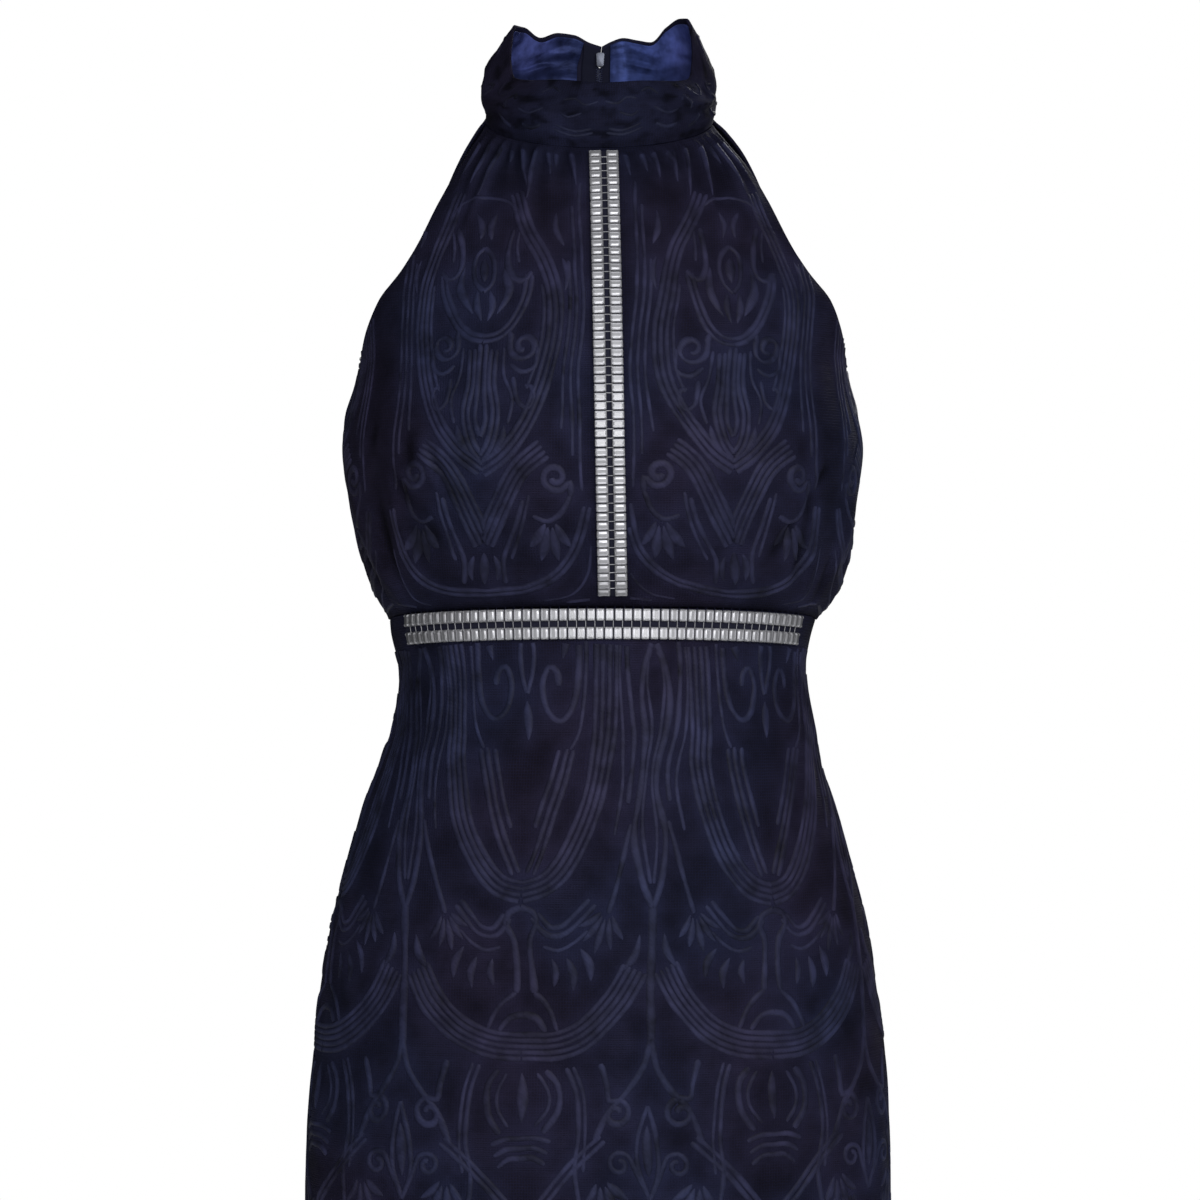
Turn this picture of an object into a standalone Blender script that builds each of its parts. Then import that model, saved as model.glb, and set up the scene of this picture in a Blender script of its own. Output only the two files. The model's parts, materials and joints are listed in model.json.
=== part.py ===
"""A sleeveless cocktail dress with a high halter collar, as it hangs from its wearer's neck.

Metres, +Z up, the front towards -Y and the wearer's left towards +X. The origin is the middle
of the seam that joins the collar to the bodice, level with the two sides of that seam.
The tables are in centimetres. Every sewn piece is one closed wall of cloth.
"""

import math
from collections import namedtuple
from functools import lru_cache

import bmesh
import bpy
from mathutils import Vector

CM = 0.01
MM = 0.001

CLOTH = 2.0 * MM  # corded lace, its backing and the lining, sewn as one
SATIN = 1.0 * MM
TAPE = 0.8 * MM
SEAM_GAP = 0.3 * MM
LAYER_GAP = 0.5 * MM

# The two side lines of the dress: drop is the distance below the collar seam's sides,
# half_width half the distance between them, and lean the sideways shift of their middle.
Side = namedtuple("Side", "drop half_width lean")
SIDES = (
    Side(0.0, 6.93, 0.00),
    Side(1.0, 7.75, 0.15),
    Side(2.4, 8.70, 0.25),
    Side(4.9, 9.95, 0.30),
    Side(7.8, 11.25, 0.30),
    Side(9.4, 12.20, 0.32),
    Side(11.3, 13.65, 0.36),
    Side(13.4, 14.45, 0.28),
    Side(16.2, 14.95, 0.20),
    Side(20.0, 15.68, 0.22),
    Side(23.5, 15.25, 0.22),
    Side(26.0, 14.80, 0.28),
    Side(27.8, 14.30, 0.32),
    Side(29.2, 13.70, 0.35),
    Side(30.3, 12.98, 0.22),
    Side(31.3, 12.70, 0.12),
    Side(33.4, 12.32, 0.20),
    Side(36.8, 12.80, 0.26),
    Side(38.8, 13.32, 0.08),
    Side(41.6, 14.33, 0.00),
    Side(45.9, 15.55, 0.00),
    Side(49.7, 16.42, 0.00),
    Side(55.1, 17.12, 0.00),
    Side(61.4, 17.62, -0.05),
    Side(66.0, 17.70, -0.05),
    Side(75.0, 17.50, 0.00),
    Side(85.6, 17.00, 0.00),
)
WAIST = 30.3
HEM = 85.6

# The section of a front or back at a drop: depth is how far its middle stands from the plane
# of the side lines, edge how far its two edges do (more than 0 beside an armhole), rise how
# much its middle is higher than the side lines, and square 2 for an ellipse and more for a
# boxier outline.
Section = namedtuple("Section", "drop rise depth edge square", defaults=(0.0, 2.15))
BODICE_FRONT = (
    Section(0.0, -2.15, 6.0, 0.835, 2.0),
    Section(2.4, -1.30, 7.2, 2.50, 2.0),
    Section(4.9, -0.70, 8.4, 4.10, 2.0),
    Section(7.8, -0.30, 9.7, 5.00, 2.0),
    Section(10.6, 0.00, 10.9, 4.70, 2.0),
    Section(13.2, 0.00, 11.80, 3.00, 2.1),
    Section(14.6, 0.00, 12.25, 1.20, 2.15),
    Section(15.3, 0.00, 12.45, 0.00, 2.2),
    Section(17.5, 0.00, 13.05, 0.00, 2.3),
    Section(20.0, 0.00, 13.5, 0.00, 2.4),
    Section(23.5, 0.00, 13.0, 0.00, 2.35),
    Section(26.0, 0.10, 12.2, 0.00, 2.25),
    Section(28.2, 0.35, 11.2),
    Section(29.5, 0.60, 10.4),
    Section(WAIST, 0.75, 9.8),
)
BODICE_BACK = (
    Section(0.0, 1.80, 5.8, 0.807, 2.0),
    Section(2.4, 1.30, 6.3, 2.00, 2.0),
    Section(4.9, 0.80, 7.2, 3.30, 2.0),
    Section(7.8, 0.40, 8.4, 4.00, 2.0),
    Section(10.6, 0.10, 9.6, 3.90, 2.0),
    Section(13.2, 0.00, 10.25, 2.50, 2.1),
    Section(14.6, 0.00, 10.45, 1.00, 2.15),
    Section(15.3, 0.00, 10.52, 0.00, 2.2),
    Section(17.5, 0.00, 10.60, 0.00, 2.25),
    Section(20.0, 0.00, 10.45, 0.00, 2.3),
    Section(23.5, 0.00, 9.80, 0.00, 2.25),
    Section(26.0, 0.05, 9.0),
    Section(28.2, 0.20, 8.3),
    Section(29.5, 0.30, 7.8),
    Section(WAIST, 0.40, 7.3),
)
SKIRT_FRONT = (
    Section(WAIST, 0.75, 9.8),
    Section(31.6, 0.65, 9.7),
    Section(33.4, 0.50, 9.8),
    Section(36.8, 0.20, 10.3),
    Section(41.6, 0.00, 11.1),
    Section(47.0, 0.00, 11.5),
    Section(53.4, 0.00, 11.5),
    Section(62.0, 0.00, 11.3),
    Section(72.0, 0.00, 11.1),
    Section(HEM, 0.00, 10.8),
)
SKIRT_BACK = (
    Section(WAIST, 0.40, 7.3),
    Section(31.6, 0.35, 7.1),
    Section(33.4, 0.30, 7.3),
    Section(36.8, 0.10, 8.3),
    Section(41.6, 0.00, 10.3),
    Section(47.0, 0.00, 12.2),
    Section(52.0, 0.00, 12.7),
    Section(58.0, 0.00, 12.4),
    Section(66.0, 0.00, 11.9),
    Section(HEM, 0.00, 11.2),
)
# The drops of each panel's rows of points, closer together where the form turns faster.
BODICE_RINGS = (
    0.0, 0.7, 1.6, 2.8, 4.3, 6.2, 8.3, 10.4, 12.2, 13.6, 14.6, 15.3, 17.5, 20.0, 22.8, 25.4, 27.4,
    28.9, 29.7, WAIST,
)
SKIRT_RINGS = (
    WAIST, 31.2, 32.3, 33.6, 35.2, 37.2, 39.6, 42.4, 46.0, 50.5, 56.0, 62.5, 70.0, 77.5, HEM,
)
# The columns of each panel, from edge to edge.
FRONT_COLUMNS = 54
BACK_COLUMNS = 14
SKIRT_FRONT_COLUMNS = 28
SKIRT_BACK_COLUMNS = 14

# The front is gathered into the collar. Each gather is a ridge on one column of the front,
# with the same on the other side: its height in millimetres and its length below the seam.
Gather = namedtuple("Gather", "column height length")
GATHERS = (
    Gather(4, 1.3, 3.6),
    Gather(7, 1.9, 4.6),
    Gather(10, 1.6, 3.4),
    Gather(13, 2.0, 5.0),
    Gather(16, 1.7, 4.0),
    Gather(19, 1.9, 4.8),
    Gather(22, 1.5, 3.8),
)
GATHER_START = 0.5  # the drop over which the gathers rise to their full height
GATHER_SPREAD = 0.65  # in columns

# The soft folds where the bodice blouses over the waist and pulls below the arms: across runs
# from -1 at the wearer's right edge to 1 at the left, spread and reach are half sizes, and
# slant turns the fold by that much across for each centimetre down.
Fold = namedtuple("Fold", "across drop spread reach height slant")
FRONT_FOLDS = (
    Fold(0.80, 25.2, 0.060, 3.6, 3.2, -0.012),
    Fold(0.93, 27.0, 0.045, 2.6, 2.6, 0.010),
    Fold(-0.78, 23.4, 0.060, 3.8, 2.8, 0.014),
    Fold(-0.90, 26.6, 0.045, 2.8, 2.4, -0.008),
    Fold(0.55, 27.4, 0.070, 2.2, 1.8, -0.010),
    Fold(-0.50, 27.8, 0.070, 2.0, 1.6, 0.010),
)
BACK_FOLDS = (
    Fold(0.62, 25.6, 0.090, 3.2, 2.6, 0.012),
    Fold(-0.66, 24.8, 0.090, 3.4, 2.8, -0.012),
    Fold(0.90, 27.0, 0.060, 2.6, 2.4, -0.010),
    Fold(-0.88, 26.4, 0.060, 2.8, 2.2, 0.010),
    Fold(0.30, 28.0, 0.080, 1.6, 1.6, 0.014),
    Fold(-0.32, 27.6, 0.080, 1.8, 1.8, -0.014),
)

# The collar from its seam to its rim: up is the share of its height there, half_width, front
# and back its reach from the middle, and lean its sideways shift.
Band = namedtuple("Band", "up half_width front back lean")
COLLAR = (
    Band(0.00, 7.00, 6.00, 5.80, 0.00),
    Band(0.25, 7.22, 6.25, 5.82, 0.00),
    Band(0.50, 7.25, 6.20, 5.80, 0.00),
    Band(0.75, 6.50, 5.90, 5.72, 0.08),
    Band(1.00, 5.58, 5.55, 5.60, 0.16),
)
# The rim's height at a turn about the neck, from -180 at the centre back through the wearer's
# right side, the front and the left side, back to 180.
Rim = namedtuple("Rim", "turn height")
RIM = (
    Rim(-180, 5.10), Rim(-172, 5.35), Rim(-162, 5.80), Rim(-150, 5.90), Rim(-136, 5.55),
    Rim(-120, 6.05), Rim(-106, 6.05), Rim(-95, 4.95), Rim(-84, 3.50), Rim(-72, 2.55),
    Rim(-50, 2.20), Rim(-25, 2.05), Rim(0, 1.85), Rim(25, 2.00), Rim(50, 2.15), Rim(72, 2.50),
    Rim(84, 3.50), Rim(96, 5.30), Rim(108, 6.45), Rim(120, 6.55), Rim(134, 6.10), Rim(146, 5.30),
    Rim(156, 5.45), Rim(166, 5.62), Rim(174, 5.40), Rim(180, 5.10),
)
COLLAR_COLUMNS = 56
COLLAR_ROWS = 7
COLLAR_SLIT = 1.7 * MM
# The dents of the crumpled collar: turn, share of its height, their half sizes and their depth.
Dent = namedtuple("Dent", "turn up turn_spread up_spread depth")
DENTS = (
    Dent(-88, 0.16, 26, 0.12, 2.2),
    Dent(-50, 0.30, 20, 0.10, 1.3),
    Dent(-18, 0.55, 24, 0.11, 0.9),
    Dent(14, 0.30, 22, 0.10, 1.0),
    Dent(46, 0.52, 18, 0.11, 1.3),
    Dent(84, 0.36, 24, 0.12, 1.7),
    Dent(128, 0.55, 16, 0.16, 1.5),
    Dent(-128, 0.45, 18, 0.14, 1.5),
)
# The satin facing stops short of the zip and of the rim.
FACING_COLUMNS_LEFT_OUT = 2
FACING_TOP = 0.955

# Both trims are two rows of set stones on a tape, with a groove between the rows.
TRIM_HALF_WIDTH = 8.5 * MM
TRIM_GROOVE_HALF_WIDTH = 1.6 * MM
TRIM_HEIGHT = 2.8 * MM
TRIM_GROOVE_HEIGHT = 1.1 * MM
TRIM_CLEARANCE = 0.4 * MM
# The front trim runs straight, a little to the wearer's left of the middle.
FRONT_TRIM_TOP_DROP = 0.35
FRONT_TRIM_BOTTOM_DROP = 29.4
FRONT_TRIM_TOP_X = 2.7 * MM
FRONT_TRIM_BOTTOM_X = 8.1 * MM
FRONT_TRIM_STEPS = 26
WAIST_TRIM_STEPS = 22
WAIST_TRIM_ACROSS = WAIST_TRIM_STEPS / SKIRT_FRONT_COLUMNS
WAIST_TRIM_RIGHT_END = -0.745
WAIST_TRIM_LEFT_END = 0.765
WAIST_TRIM_MIDDLE_DROP = WAIST + 0.88

# The zip at the centre back. The slider's body is inside the collar and its bridge passes through
# the slit, with an eye in which the pull's top bar turns.
ZIP_TAPE_INNER = 0.9 * MM
ZIP_TAPE_OUTER = 11.0 * MM
ZIP_TAPE_TOP = 0.93
ZIP_END_DROP = 50.5
SLIDER_WIDTH = 4.4 * MM
SLIDER_DEPTH = 2.2 * MM
SLIDER_HEIGHT = 9.0 * MM
SLIDER_UP = 0.74
SLIDER_CLEARANCE = 0.9 * MM
BRIDGE_WIDTH = 0.8 * MM
BRIDGE_HEIGHT = 5.2 * MM
BRIDGE_REACH = 4.6 * MM
BRIDGE_BAR = 0.9 * MM
PULL_AXIS_REACH = 2.9 * MM
PULL_WIDTH = 4.6 * MM
PULL_LENGTH = 15.0 * MM
PULL_THICKNESS = 0.9 * MM
PULL_EYE_WIDTH = 2.2 * MM
PULL_EYE_LENGTH = 3.7 * MM
PULL_TOP_BAR = 0.9 * MM


def material(name, colour, roughness, metallic=0.0):
    made = bpy.data.materials.new(name)
    made.use_nodes = True
    shader = made.node_tree.nodes["Principled BSDF"]
    shader.inputs["Base Color"].default_value = (*colour, 1.0)
    shader.inputs["Roughness"].default_value = roughness
    shader.inputs["Metallic"].default_value = metallic
    return made


def slope_at(table, index, column):
    """The slope of a column at one of its rows: level at a peak or a dip, so that it never overshoots."""
    sides = [
        (table[high][column] - table[low][column]) / (table[high][0] - table[low][0])
        for low, high in ((index - 1, index), (index, index + 1))
        if low >= 0 and high < len(table)
    ]
    if sides[0] * sides[-1] <= 0:
        return 0.0
    return 2 * sides[0] * sides[-1] / (sides[0] + sides[-1])


def smooth_row(table, key):
    """The row of a table at a key between its own, on a smooth curve through each column."""
    key = min(max(key, table[0][0]), table[-1][0])
    low = max(index for index in range(len(table) - 1) if table[index][0] <= key)
    step = table[low + 1][0] - table[low][0]
    share = (key - table[low][0]) / step
    values = []
    for column in range(len(table[0])):
        start, end = table[low][column], table[low + 1][column]
        start_rise = slope_at(table, low, column) * step
        end_rise = slope_at(table, low + 1, column) * step
        values.append(
            start * (1 + 2 * share) * (1 - share) ** 2
            + start_rise * share * (1 - share) ** 2
            + end * share**2 * (3 - 2 * share)
            - end_rise * share**2 * (1 - share)
        )
    return type(table[0])(*values)


# The straight steps that measure the length along half a section.
ARC_STEPS = 48


@lru_cache(maxsize=None)
def half_section(table, drop):
    """The outline of a section from its middle to its edge, with the length along it at each point."""
    side = smooth_row(SIDES, drop)
    section = smooth_row(table, drop)
    power = 2 / section.square
    wrap = math.acos((max(section.edge, 0.0) / section.depth) ** (1 / power))
    points = []
    for step in range(ARC_STEPS + 1):
        turn = wrap * step / ARC_STEPS
        out = (math.sin(turn) / math.sin(wrap)) ** power
        points.append((side.half_width * out, section.depth * max(math.cos(turn), 0.0) ** power))
    lengths = [0.0]
    for near, far in zip(points, points[1:]):
        lengths.append(lengths[-1] + math.dist(near, far))
    return points, lengths, side, section


def panel_point(table, facing, across, drop):
    """The point of a front (facing -1) or back (facing 1), across -1 to 1 of its girth."""
    points, lengths, side, section = half_section(table, round(drop, 5))
    wanted = abs(across) * lengths[-1]
    index = next((i for i in range(1, ARC_STEPS) if lengths[i] > wanted), ARC_STEPS)
    share = (wanted - lengths[index - 1]) / (lengths[index] - lengths[index - 1])
    out, forward = (a + (b - a) * share for a, b in zip(points[index - 1], points[index]))
    height = section.rise * forward / section.depth - drop
    x = math.copysign(out, across) + side.lean
    return Vector((x, facing * forward, height)) * CM + Vector((0, facing * SEAM_GAP / 2, 0))


def on_panel(table, facing, across, drop, height=0.0):
    """A point that stands a height off a panel, straight out from it."""
    small_across, small_drop = 0.004, 0.05
    right = panel_point(table, facing, across + small_across, drop)
    left = panel_point(table, facing, across - small_across, drop)
    top, bottom = table[0].drop, table[-1].drop
    upper = panel_point(table, facing, across, max(drop - small_drop, top))
    lower = panel_point(table, facing, across, min(drop + small_drop, bottom))
    normal = (right - left).cross(upper - lower).normalized() * -facing
    return panel_point(table, facing, across, drop) + normal * height


def fold_height(folds, across, drop):
    """How far a panel's folds lift it here, each a soft ridge that dies away along its length."""
    total = 0.0
    for fold in folds:
        along = (drop - fold.drop) / fold.reach
        aside = (across - fold.across - fold.slant * (drop - fold.drop)) / fold.spread
        total += fold.height * MM * math.exp(-along**2 - aside**2)
    return total


def gather_height(across, drop):
    """How far the gathers under the collar lift the front here."""
    column = abs(across) * FRONT_COLUMNS / 2
    start = 1 - math.exp(-((drop / GATHER_START) ** 2))
    total = 0.0
    for gather in GATHERS:
        aside = (column - gather.column) / GATHER_SPREAD
        total += gather.height * MM * math.exp(-(aside**2) - (drop / gather.length) ** 2)
    return total * start


def wall(name, columns, rows, place, thickness, finish):
    """A closed wall of cloth on place(u, v, height), with u to the right seen from outside and v up."""
    cloth = bmesh.new()
    bmesh.ops.create_grid(cloth, x_segments=columns, y_segments=rows, size=0.5)
    inside = cloth.verts[:]
    bmesh.ops.extrude_face_region(cloth, geom=inside + cloth.edges[:] + cloth.faces[:], use_keep_orig=True)
    for corner in cloth.verts[len(inside) :]:
        corner.co = place(corner.co.x + 0.5, corner.co.y + 0.5, 0.0)
    for corner in inside:
        corner.co = place(corner.co.x + 0.5, corner.co.y + 0.5, -thickness)
    return finished(name, cloth, finish)


def finished(name, shape, finish):
    """The object of a bmesh, shaded smooth but for its sharp edges."""
    mesh = bpy.data.meshes.new(name)
    shape.to_mesh(mesh)
    shape.free()
    mesh.materials.append(finish)
    mesh.shade_smooth()
    mesh.set_sharp_from_angle(angle=math.radians(50))
    solid = bpy.data.objects.new(name, mesh)
    bpy.context.scene.collection.objects.link(solid)
    return solid


def ring_drop(rings, v):
    """The drop of a row of the grid, v 1 at the panel's top and 0 at its bottom, clear of the seams."""
    drop = rings[round((1 - v) * (len(rings) - 1))]
    if drop == rings[0]:
        drop += SEAM_GAP / CM
    return drop


def make_front(name, table, rings, columns, lift, finish):
    def place(u, v, height):
        across, drop = 2 * u - 1, ring_drop(rings, v)
        return on_panel(table, -1, across, drop, height + lift(across, drop))

    return wall(name, columns, len(rings) - 1, place, CLOTH, finish)


def make_back_half(name, table, rings, columns, sign, lift, finish):
    """One half of the back, on the +X side for a sign of 1, from its side seam to the zip."""

    def place(u, v, height):
        across = sign * (1 - u if sign > 0 else u)
        drop = ring_drop(rings, v)
        point = on_panel(table, 1, across, drop, height + lift(across, drop))
        if across == 0:
            point.x += sign * SEAM_GAP / 2
        return point

    return wall(name, columns, len(rings) - 1, place, CLOTH, finish)


def collar_point(turn, up):
    """The point of the collar's outside at a turn about the neck and a share of its height."""
    band = smooth_row(COLLAR, up)
    slit_turn = 180 - math.degrees(math.asin(COLLAR_SLIT / 2 / CM / band.half_width))
    angle = math.radians(min(max(turn, -slit_turn), slit_turn))
    front = math.cos(angle) > 0
    reach = band.front if front else band.back
    seam = BODICE_FRONT[0].rise if front else -BODICE_BACK[0].rise
    bottom = seam * math.cos(angle)
    height = bottom + (smooth_row(RIM, turn).height - bottom) * up
    x = band.half_width * math.sin(angle) + band.lean
    return Vector((x, -reach * math.cos(angle), height)) * CM


def dent_depth(turn, up):
    total = 0.0
    for dent in DENTS:
        around = (turn - dent.turn) / dent.turn_spread
        along = (up - dent.up) / dent.up_spread
        total += dent.depth * MM * math.exp(-(around**2) - along**2)
    return total


def on_collar(turn, up, height=0.0):
    """A point a height off the collar's outside, dents included."""
    small_turn, small_up = 1.0, 0.02
    side = collar_point(turn + small_turn, up) - collar_point(turn - small_turn, up)
    rise = collar_point(turn, min(up + small_up, 1)) - collar_point(turn, max(up - small_up, 0))
    normal = side.cross(rise).normalized()
    return collar_point(turn, up) + normal * (height - dent_depth(turn, up))


def make_collar(finish):
    def place(u, v, height):
        return on_collar(360 * u - 180, v, height)

    return wall("collar", COLLAR_COLUMNS, COLLAR_ROWS, place, CLOTH, finish)


def make_collar_facing(finish):
    """The satin inside the collar, from one zip tape round the front to the other."""
    columns = COLLAR_COLUMNS - 2 * FACING_COLUMNS_LEFT_OUT
    first_turn = 360 * FACING_COLUMNS_LEFT_OUT / COLLAR_COLUMNS - 180
    first_row = 1 / COLLAR_ROWS

    def place(u, v, height):
        up = min(first_row + v * (1 - first_row), FACING_TOP)
        return on_collar(first_turn * (1 - 2 * u), up, height - CLOTH - LAYER_GAP)

    return wall("collar_facing", columns, COLLAR_ROWS - 1, place, SATIN, finish)


# The trim's outline across its length, as pairs of aside and height.
TRIM_OUTLINE = (
    (-TRIM_HALF_WIDTH, 0.0),
    (-TRIM_HALF_WIDTH, TRIM_HEIGHT),
    (-TRIM_GROOVE_HALF_WIDTH, TRIM_HEIGHT),
    (-TRIM_GROOVE_HALF_WIDTH, TRIM_GROOVE_HEIGHT),
    (TRIM_GROOVE_HALF_WIDTH, TRIM_GROOVE_HEIGHT),
    (TRIM_GROOVE_HALF_WIDTH, TRIM_HEIGHT),
    (TRIM_HALF_WIDTH, TRIM_HEIGHT),
    (TRIM_HALF_WIDTH, 0.0),
)


def make_trim(name, steps, place, finish):
    """A strip with the trim's outline, its points at place(along, aside, height), along 0 to 1."""
    strip = bmesh.new()
    loops = []
    for step in range(steps + 1):
        places = [place(step / steps, aside, height + TRIM_CLEARANCE) for aside, height in TRIM_OUTLINE]
        loops.append([strip.verts.new(point) for point in places])
    for near, far in zip(loops, loops[1:]):
        for corner in range(len(near)):
            following = (corner + 1) % len(near)
            strip.faces.new((near[corner], near[following], far[following], far[corner]))
    strip.faces.new(loops[0])
    strip.faces.new(loops[-1])
    bmesh.ops.recalc_face_normals(strip, faces=strip.faces)
    return finished(name, strip, finish)


def front_trim_point(along, aside, height):
    drop = FRONT_TRIM_TOP_DROP + (FRONT_TRIM_BOTTOM_DROP - FRONT_TRIM_TOP_DROP) * along
    points, lengths, side, section = half_section(BODICE_FRONT, round(drop, 5))
    x = FRONT_TRIM_TOP_X + (FRONT_TRIM_BOTTOM_X - FRONT_TRIM_TOP_X) * along
    across = (x - side.lean * CM + aside) / (lengths[-1] * CM)
    return on_panel(BODICE_FRONT, -1, across, drop, height)


def waist_trim_point(along, aside, height):
    across = WAIST_TRIM_ACROSS * (2 * along - 1)
    across = min(max(across, WAIST_TRIM_RIGHT_END), WAIST_TRIM_LEFT_END)
    return on_panel(SKIRT_FRONT, -1, across, WAIST_TRIM_MIDDLE_DROP + aside / CM, height)


def make_zip_tape(name, sign, finish):
    """A zip tape inside the centre back, from the collar's rim over both seams to the zip's end."""
    collar_ups = [ZIP_TAPE_TOP * (1 - step / 5) for step in range(6)]
    bodice_drops = [0.4, *BODICE_RINGS[2:]]
    skirt_drops = [drop for drop in SKIRT_RINGS if WAIST < drop <= ZIP_END_DROP]
    places = [("collar", up) for up in collar_ups]
    places += [("bodice", drop) for drop in bodice_drops]
    places += [("skirt", drop) for drop in skirt_drops]

    def place(u, v, height):
        height -= CLOTH + LAYER_GAP
        where, level = places[round((1 - v) * (len(places) - 1))]
        reach = ZIP_TAPE_INNER + (ZIP_TAPE_OUTER - ZIP_TAPE_INNER) * (1 - u if sign > 0 else u)
        if where == "collar":
            half_width = smooth_row(COLLAR, level).half_width * CM
            turn = sign * (180 - math.degrees(math.asin(reach / half_width)))
            return on_collar(turn, level, height)
        table = BODICE_BACK if where == "bodice" else SKIRT_BACK
        girth = half_section(table, round(level, 5))[1][-1] * CM
        return on_panel(table, 1, sign * reach / girth, level, height)

    return wall(name, 2, len(places) - 1, place, TAPE, finish)


def box(name, low, high, finish):
    """A plain block between two corners."""
    block = bmesh.new()
    bmesh.ops.create_cube(block, size=1)
    middle, size = (low + high) / 2, high - low
    for corner in block.verts:
        corner.co = middle + Vector(a * b for a, b in zip(corner.co, size))
    return finished(name, block, finish)


def joined(base, other, operation):
    """Adds or cuts the other object, which itself is then no piece of the dress."""
    step = base.modifiers.new(other.name, "BOOLEAN")
    step.operation = operation
    step.object = other
    other.hide_render = True
    other.display_type = "WIRE"


def make_zip_slider(finish):
    """The slider's body lies inside the tapes. A bridge through the slit carries the pull outside."""
    middle = collar_point(180, SLIDER_UP)
    middle.x = smooth_row(COLLAR, SLIDER_UP).lean * CM
    body_back = middle.y - CLOTH - LAYER_GAP - TAPE - SLIDER_CLEARANCE
    half = Vector((SLIDER_WIDTH / 2, 0, SLIDER_HEIGHT / 2))
    body_low = Vector((middle.x, body_back - SLIDER_DEPTH, middle.z)) - half
    body_high = Vector((middle.x, body_back, middle.z)) + half
    slider = box("zip_slider", body_low, body_high, finish)
    bridge_half = Vector((BRIDGE_WIDTH / 2, 0, BRIDGE_HEIGHT / 2))
    bridge = box(
        "zip_slider_bridge",
        Vector((middle.x, body_back - SLIDER_DEPTH / 2, middle.z)) - bridge_half,
        Vector((middle.x, middle.y + BRIDGE_REACH, middle.z)) + bridge_half,
        finish,
    )
    axis = Vector((middle.x, middle.y + PULL_AXIS_REACH, middle.z))
    eye_half = Vector((BRIDGE_WIDTH, 0, BRIDGE_HEIGHT / 2 - BRIDGE_BAR))
    eye = box(
        "zip_slider_eye",
        Vector((middle.x, middle.y + BRIDGE_BAR + 2 * SEAM_GAP, middle.z)) - eye_half,
        Vector((middle.x, middle.y + BRIDGE_REACH - BRIDGE_BAR, middle.z)) + eye_half,
        finish,
    )
    joined(slider, bridge, "UNION")
    joined(slider, eye, "DIFFERENCE")
    return axis


def make_zip_pull(axis, finish):
    """The pull tab hangs from the bar at its top, which turns in the slider's bridge."""
    pull = box(
        "zip_pull",
        axis + Vector((-PULL_WIDTH / 2, -PULL_THICKNESS / 2, PULL_TOP_BAR / 2 - PULL_LENGTH)),
        axis + Vector((PULL_WIDTH / 2, PULL_THICKNESS / 2, PULL_TOP_BAR / 2)),
        finish,
    )
    eye = box(
        "zip_pull_eye",
        axis + Vector((-PULL_EYE_WIDTH / 2, -PULL_THICKNESS, -PULL_TOP_BAR / 2 - PULL_EYE_LENGTH)),
        axis + Vector((PULL_EYE_WIDTH / 2, PULL_THICKNESS, -PULL_TOP_BAR / 2)),
        finish,
    )
    joined(pull, eye, "DIFFERENCE")


def main():
    for old in list(bpy.data.objects):
        bpy.data.objects.remove(old, do_unlink=True)

    lace = material("navy corded lace", (0.010, 0.011, 0.028), 0.75)
    satin = material("navy satin facing", (0.020, 0.032, 0.110), 0.35)
    stones = material("clear stones in metal settings", (0.62, 0.62, 0.66), 0.2, 0.6)
    tape = material("navy zip tape", (0.012, 0.014, 0.035), 0.7)
    metal = material("pale enamelled metal", (0.55, 0.56, 0.62), 0.35, 0.8)

    def front_lift(across, drop):
        return gather_height(across, drop) + fold_height(FRONT_FOLDS, across, drop)

    def back_lift(across, drop):
        return fold_height(BACK_FOLDS, across, drop)

    def no_lift(across, drop):
        return 0.0

    bodice_back = (BODICE_BACK, BODICE_RINGS, BACK_COLUMNS)
    skirt_back = (SKIRT_BACK, SKIRT_RINGS, SKIRT_BACK_COLUMNS)
    make_front("bodice_front", BODICE_FRONT, BODICE_RINGS, FRONT_COLUMNS, front_lift, lace)
    make_front("skirt_front", SKIRT_FRONT, SKIRT_RINGS, SKIRT_FRONT_COLUMNS, no_lift, lace)
    for side, sign in (("left", 1), ("right", -1)):
        make_back_half(f"bodice_back_{side}", *bodice_back, sign, back_lift, lace)
        make_back_half(f"skirt_back_{side}", *skirt_back, sign, no_lift, lace)
        make_zip_tape(f"zip_tape_{side}", sign, tape)
    make_collar(lace)
    make_collar_facing(satin)
    make_trim("front_trim", FRONT_TRIM_STEPS, front_trim_point, stones)
    make_trim("waist_trim", WAIST_TRIM_STEPS, waist_trim_point, stones)
    axis = make_zip_slider(metal)
    make_zip_pull(axis, metal)


main()
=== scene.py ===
"""The looks of a sleeveless navy cocktail dress with a halter collar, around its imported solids."""

import json
import math
from bisect import bisect_right
from collections import namedtuple
from functools import lru_cache
from itertools import product

import bmesh
import bpy
from mathutils import Matrix, Vector, kdtree, noise

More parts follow.
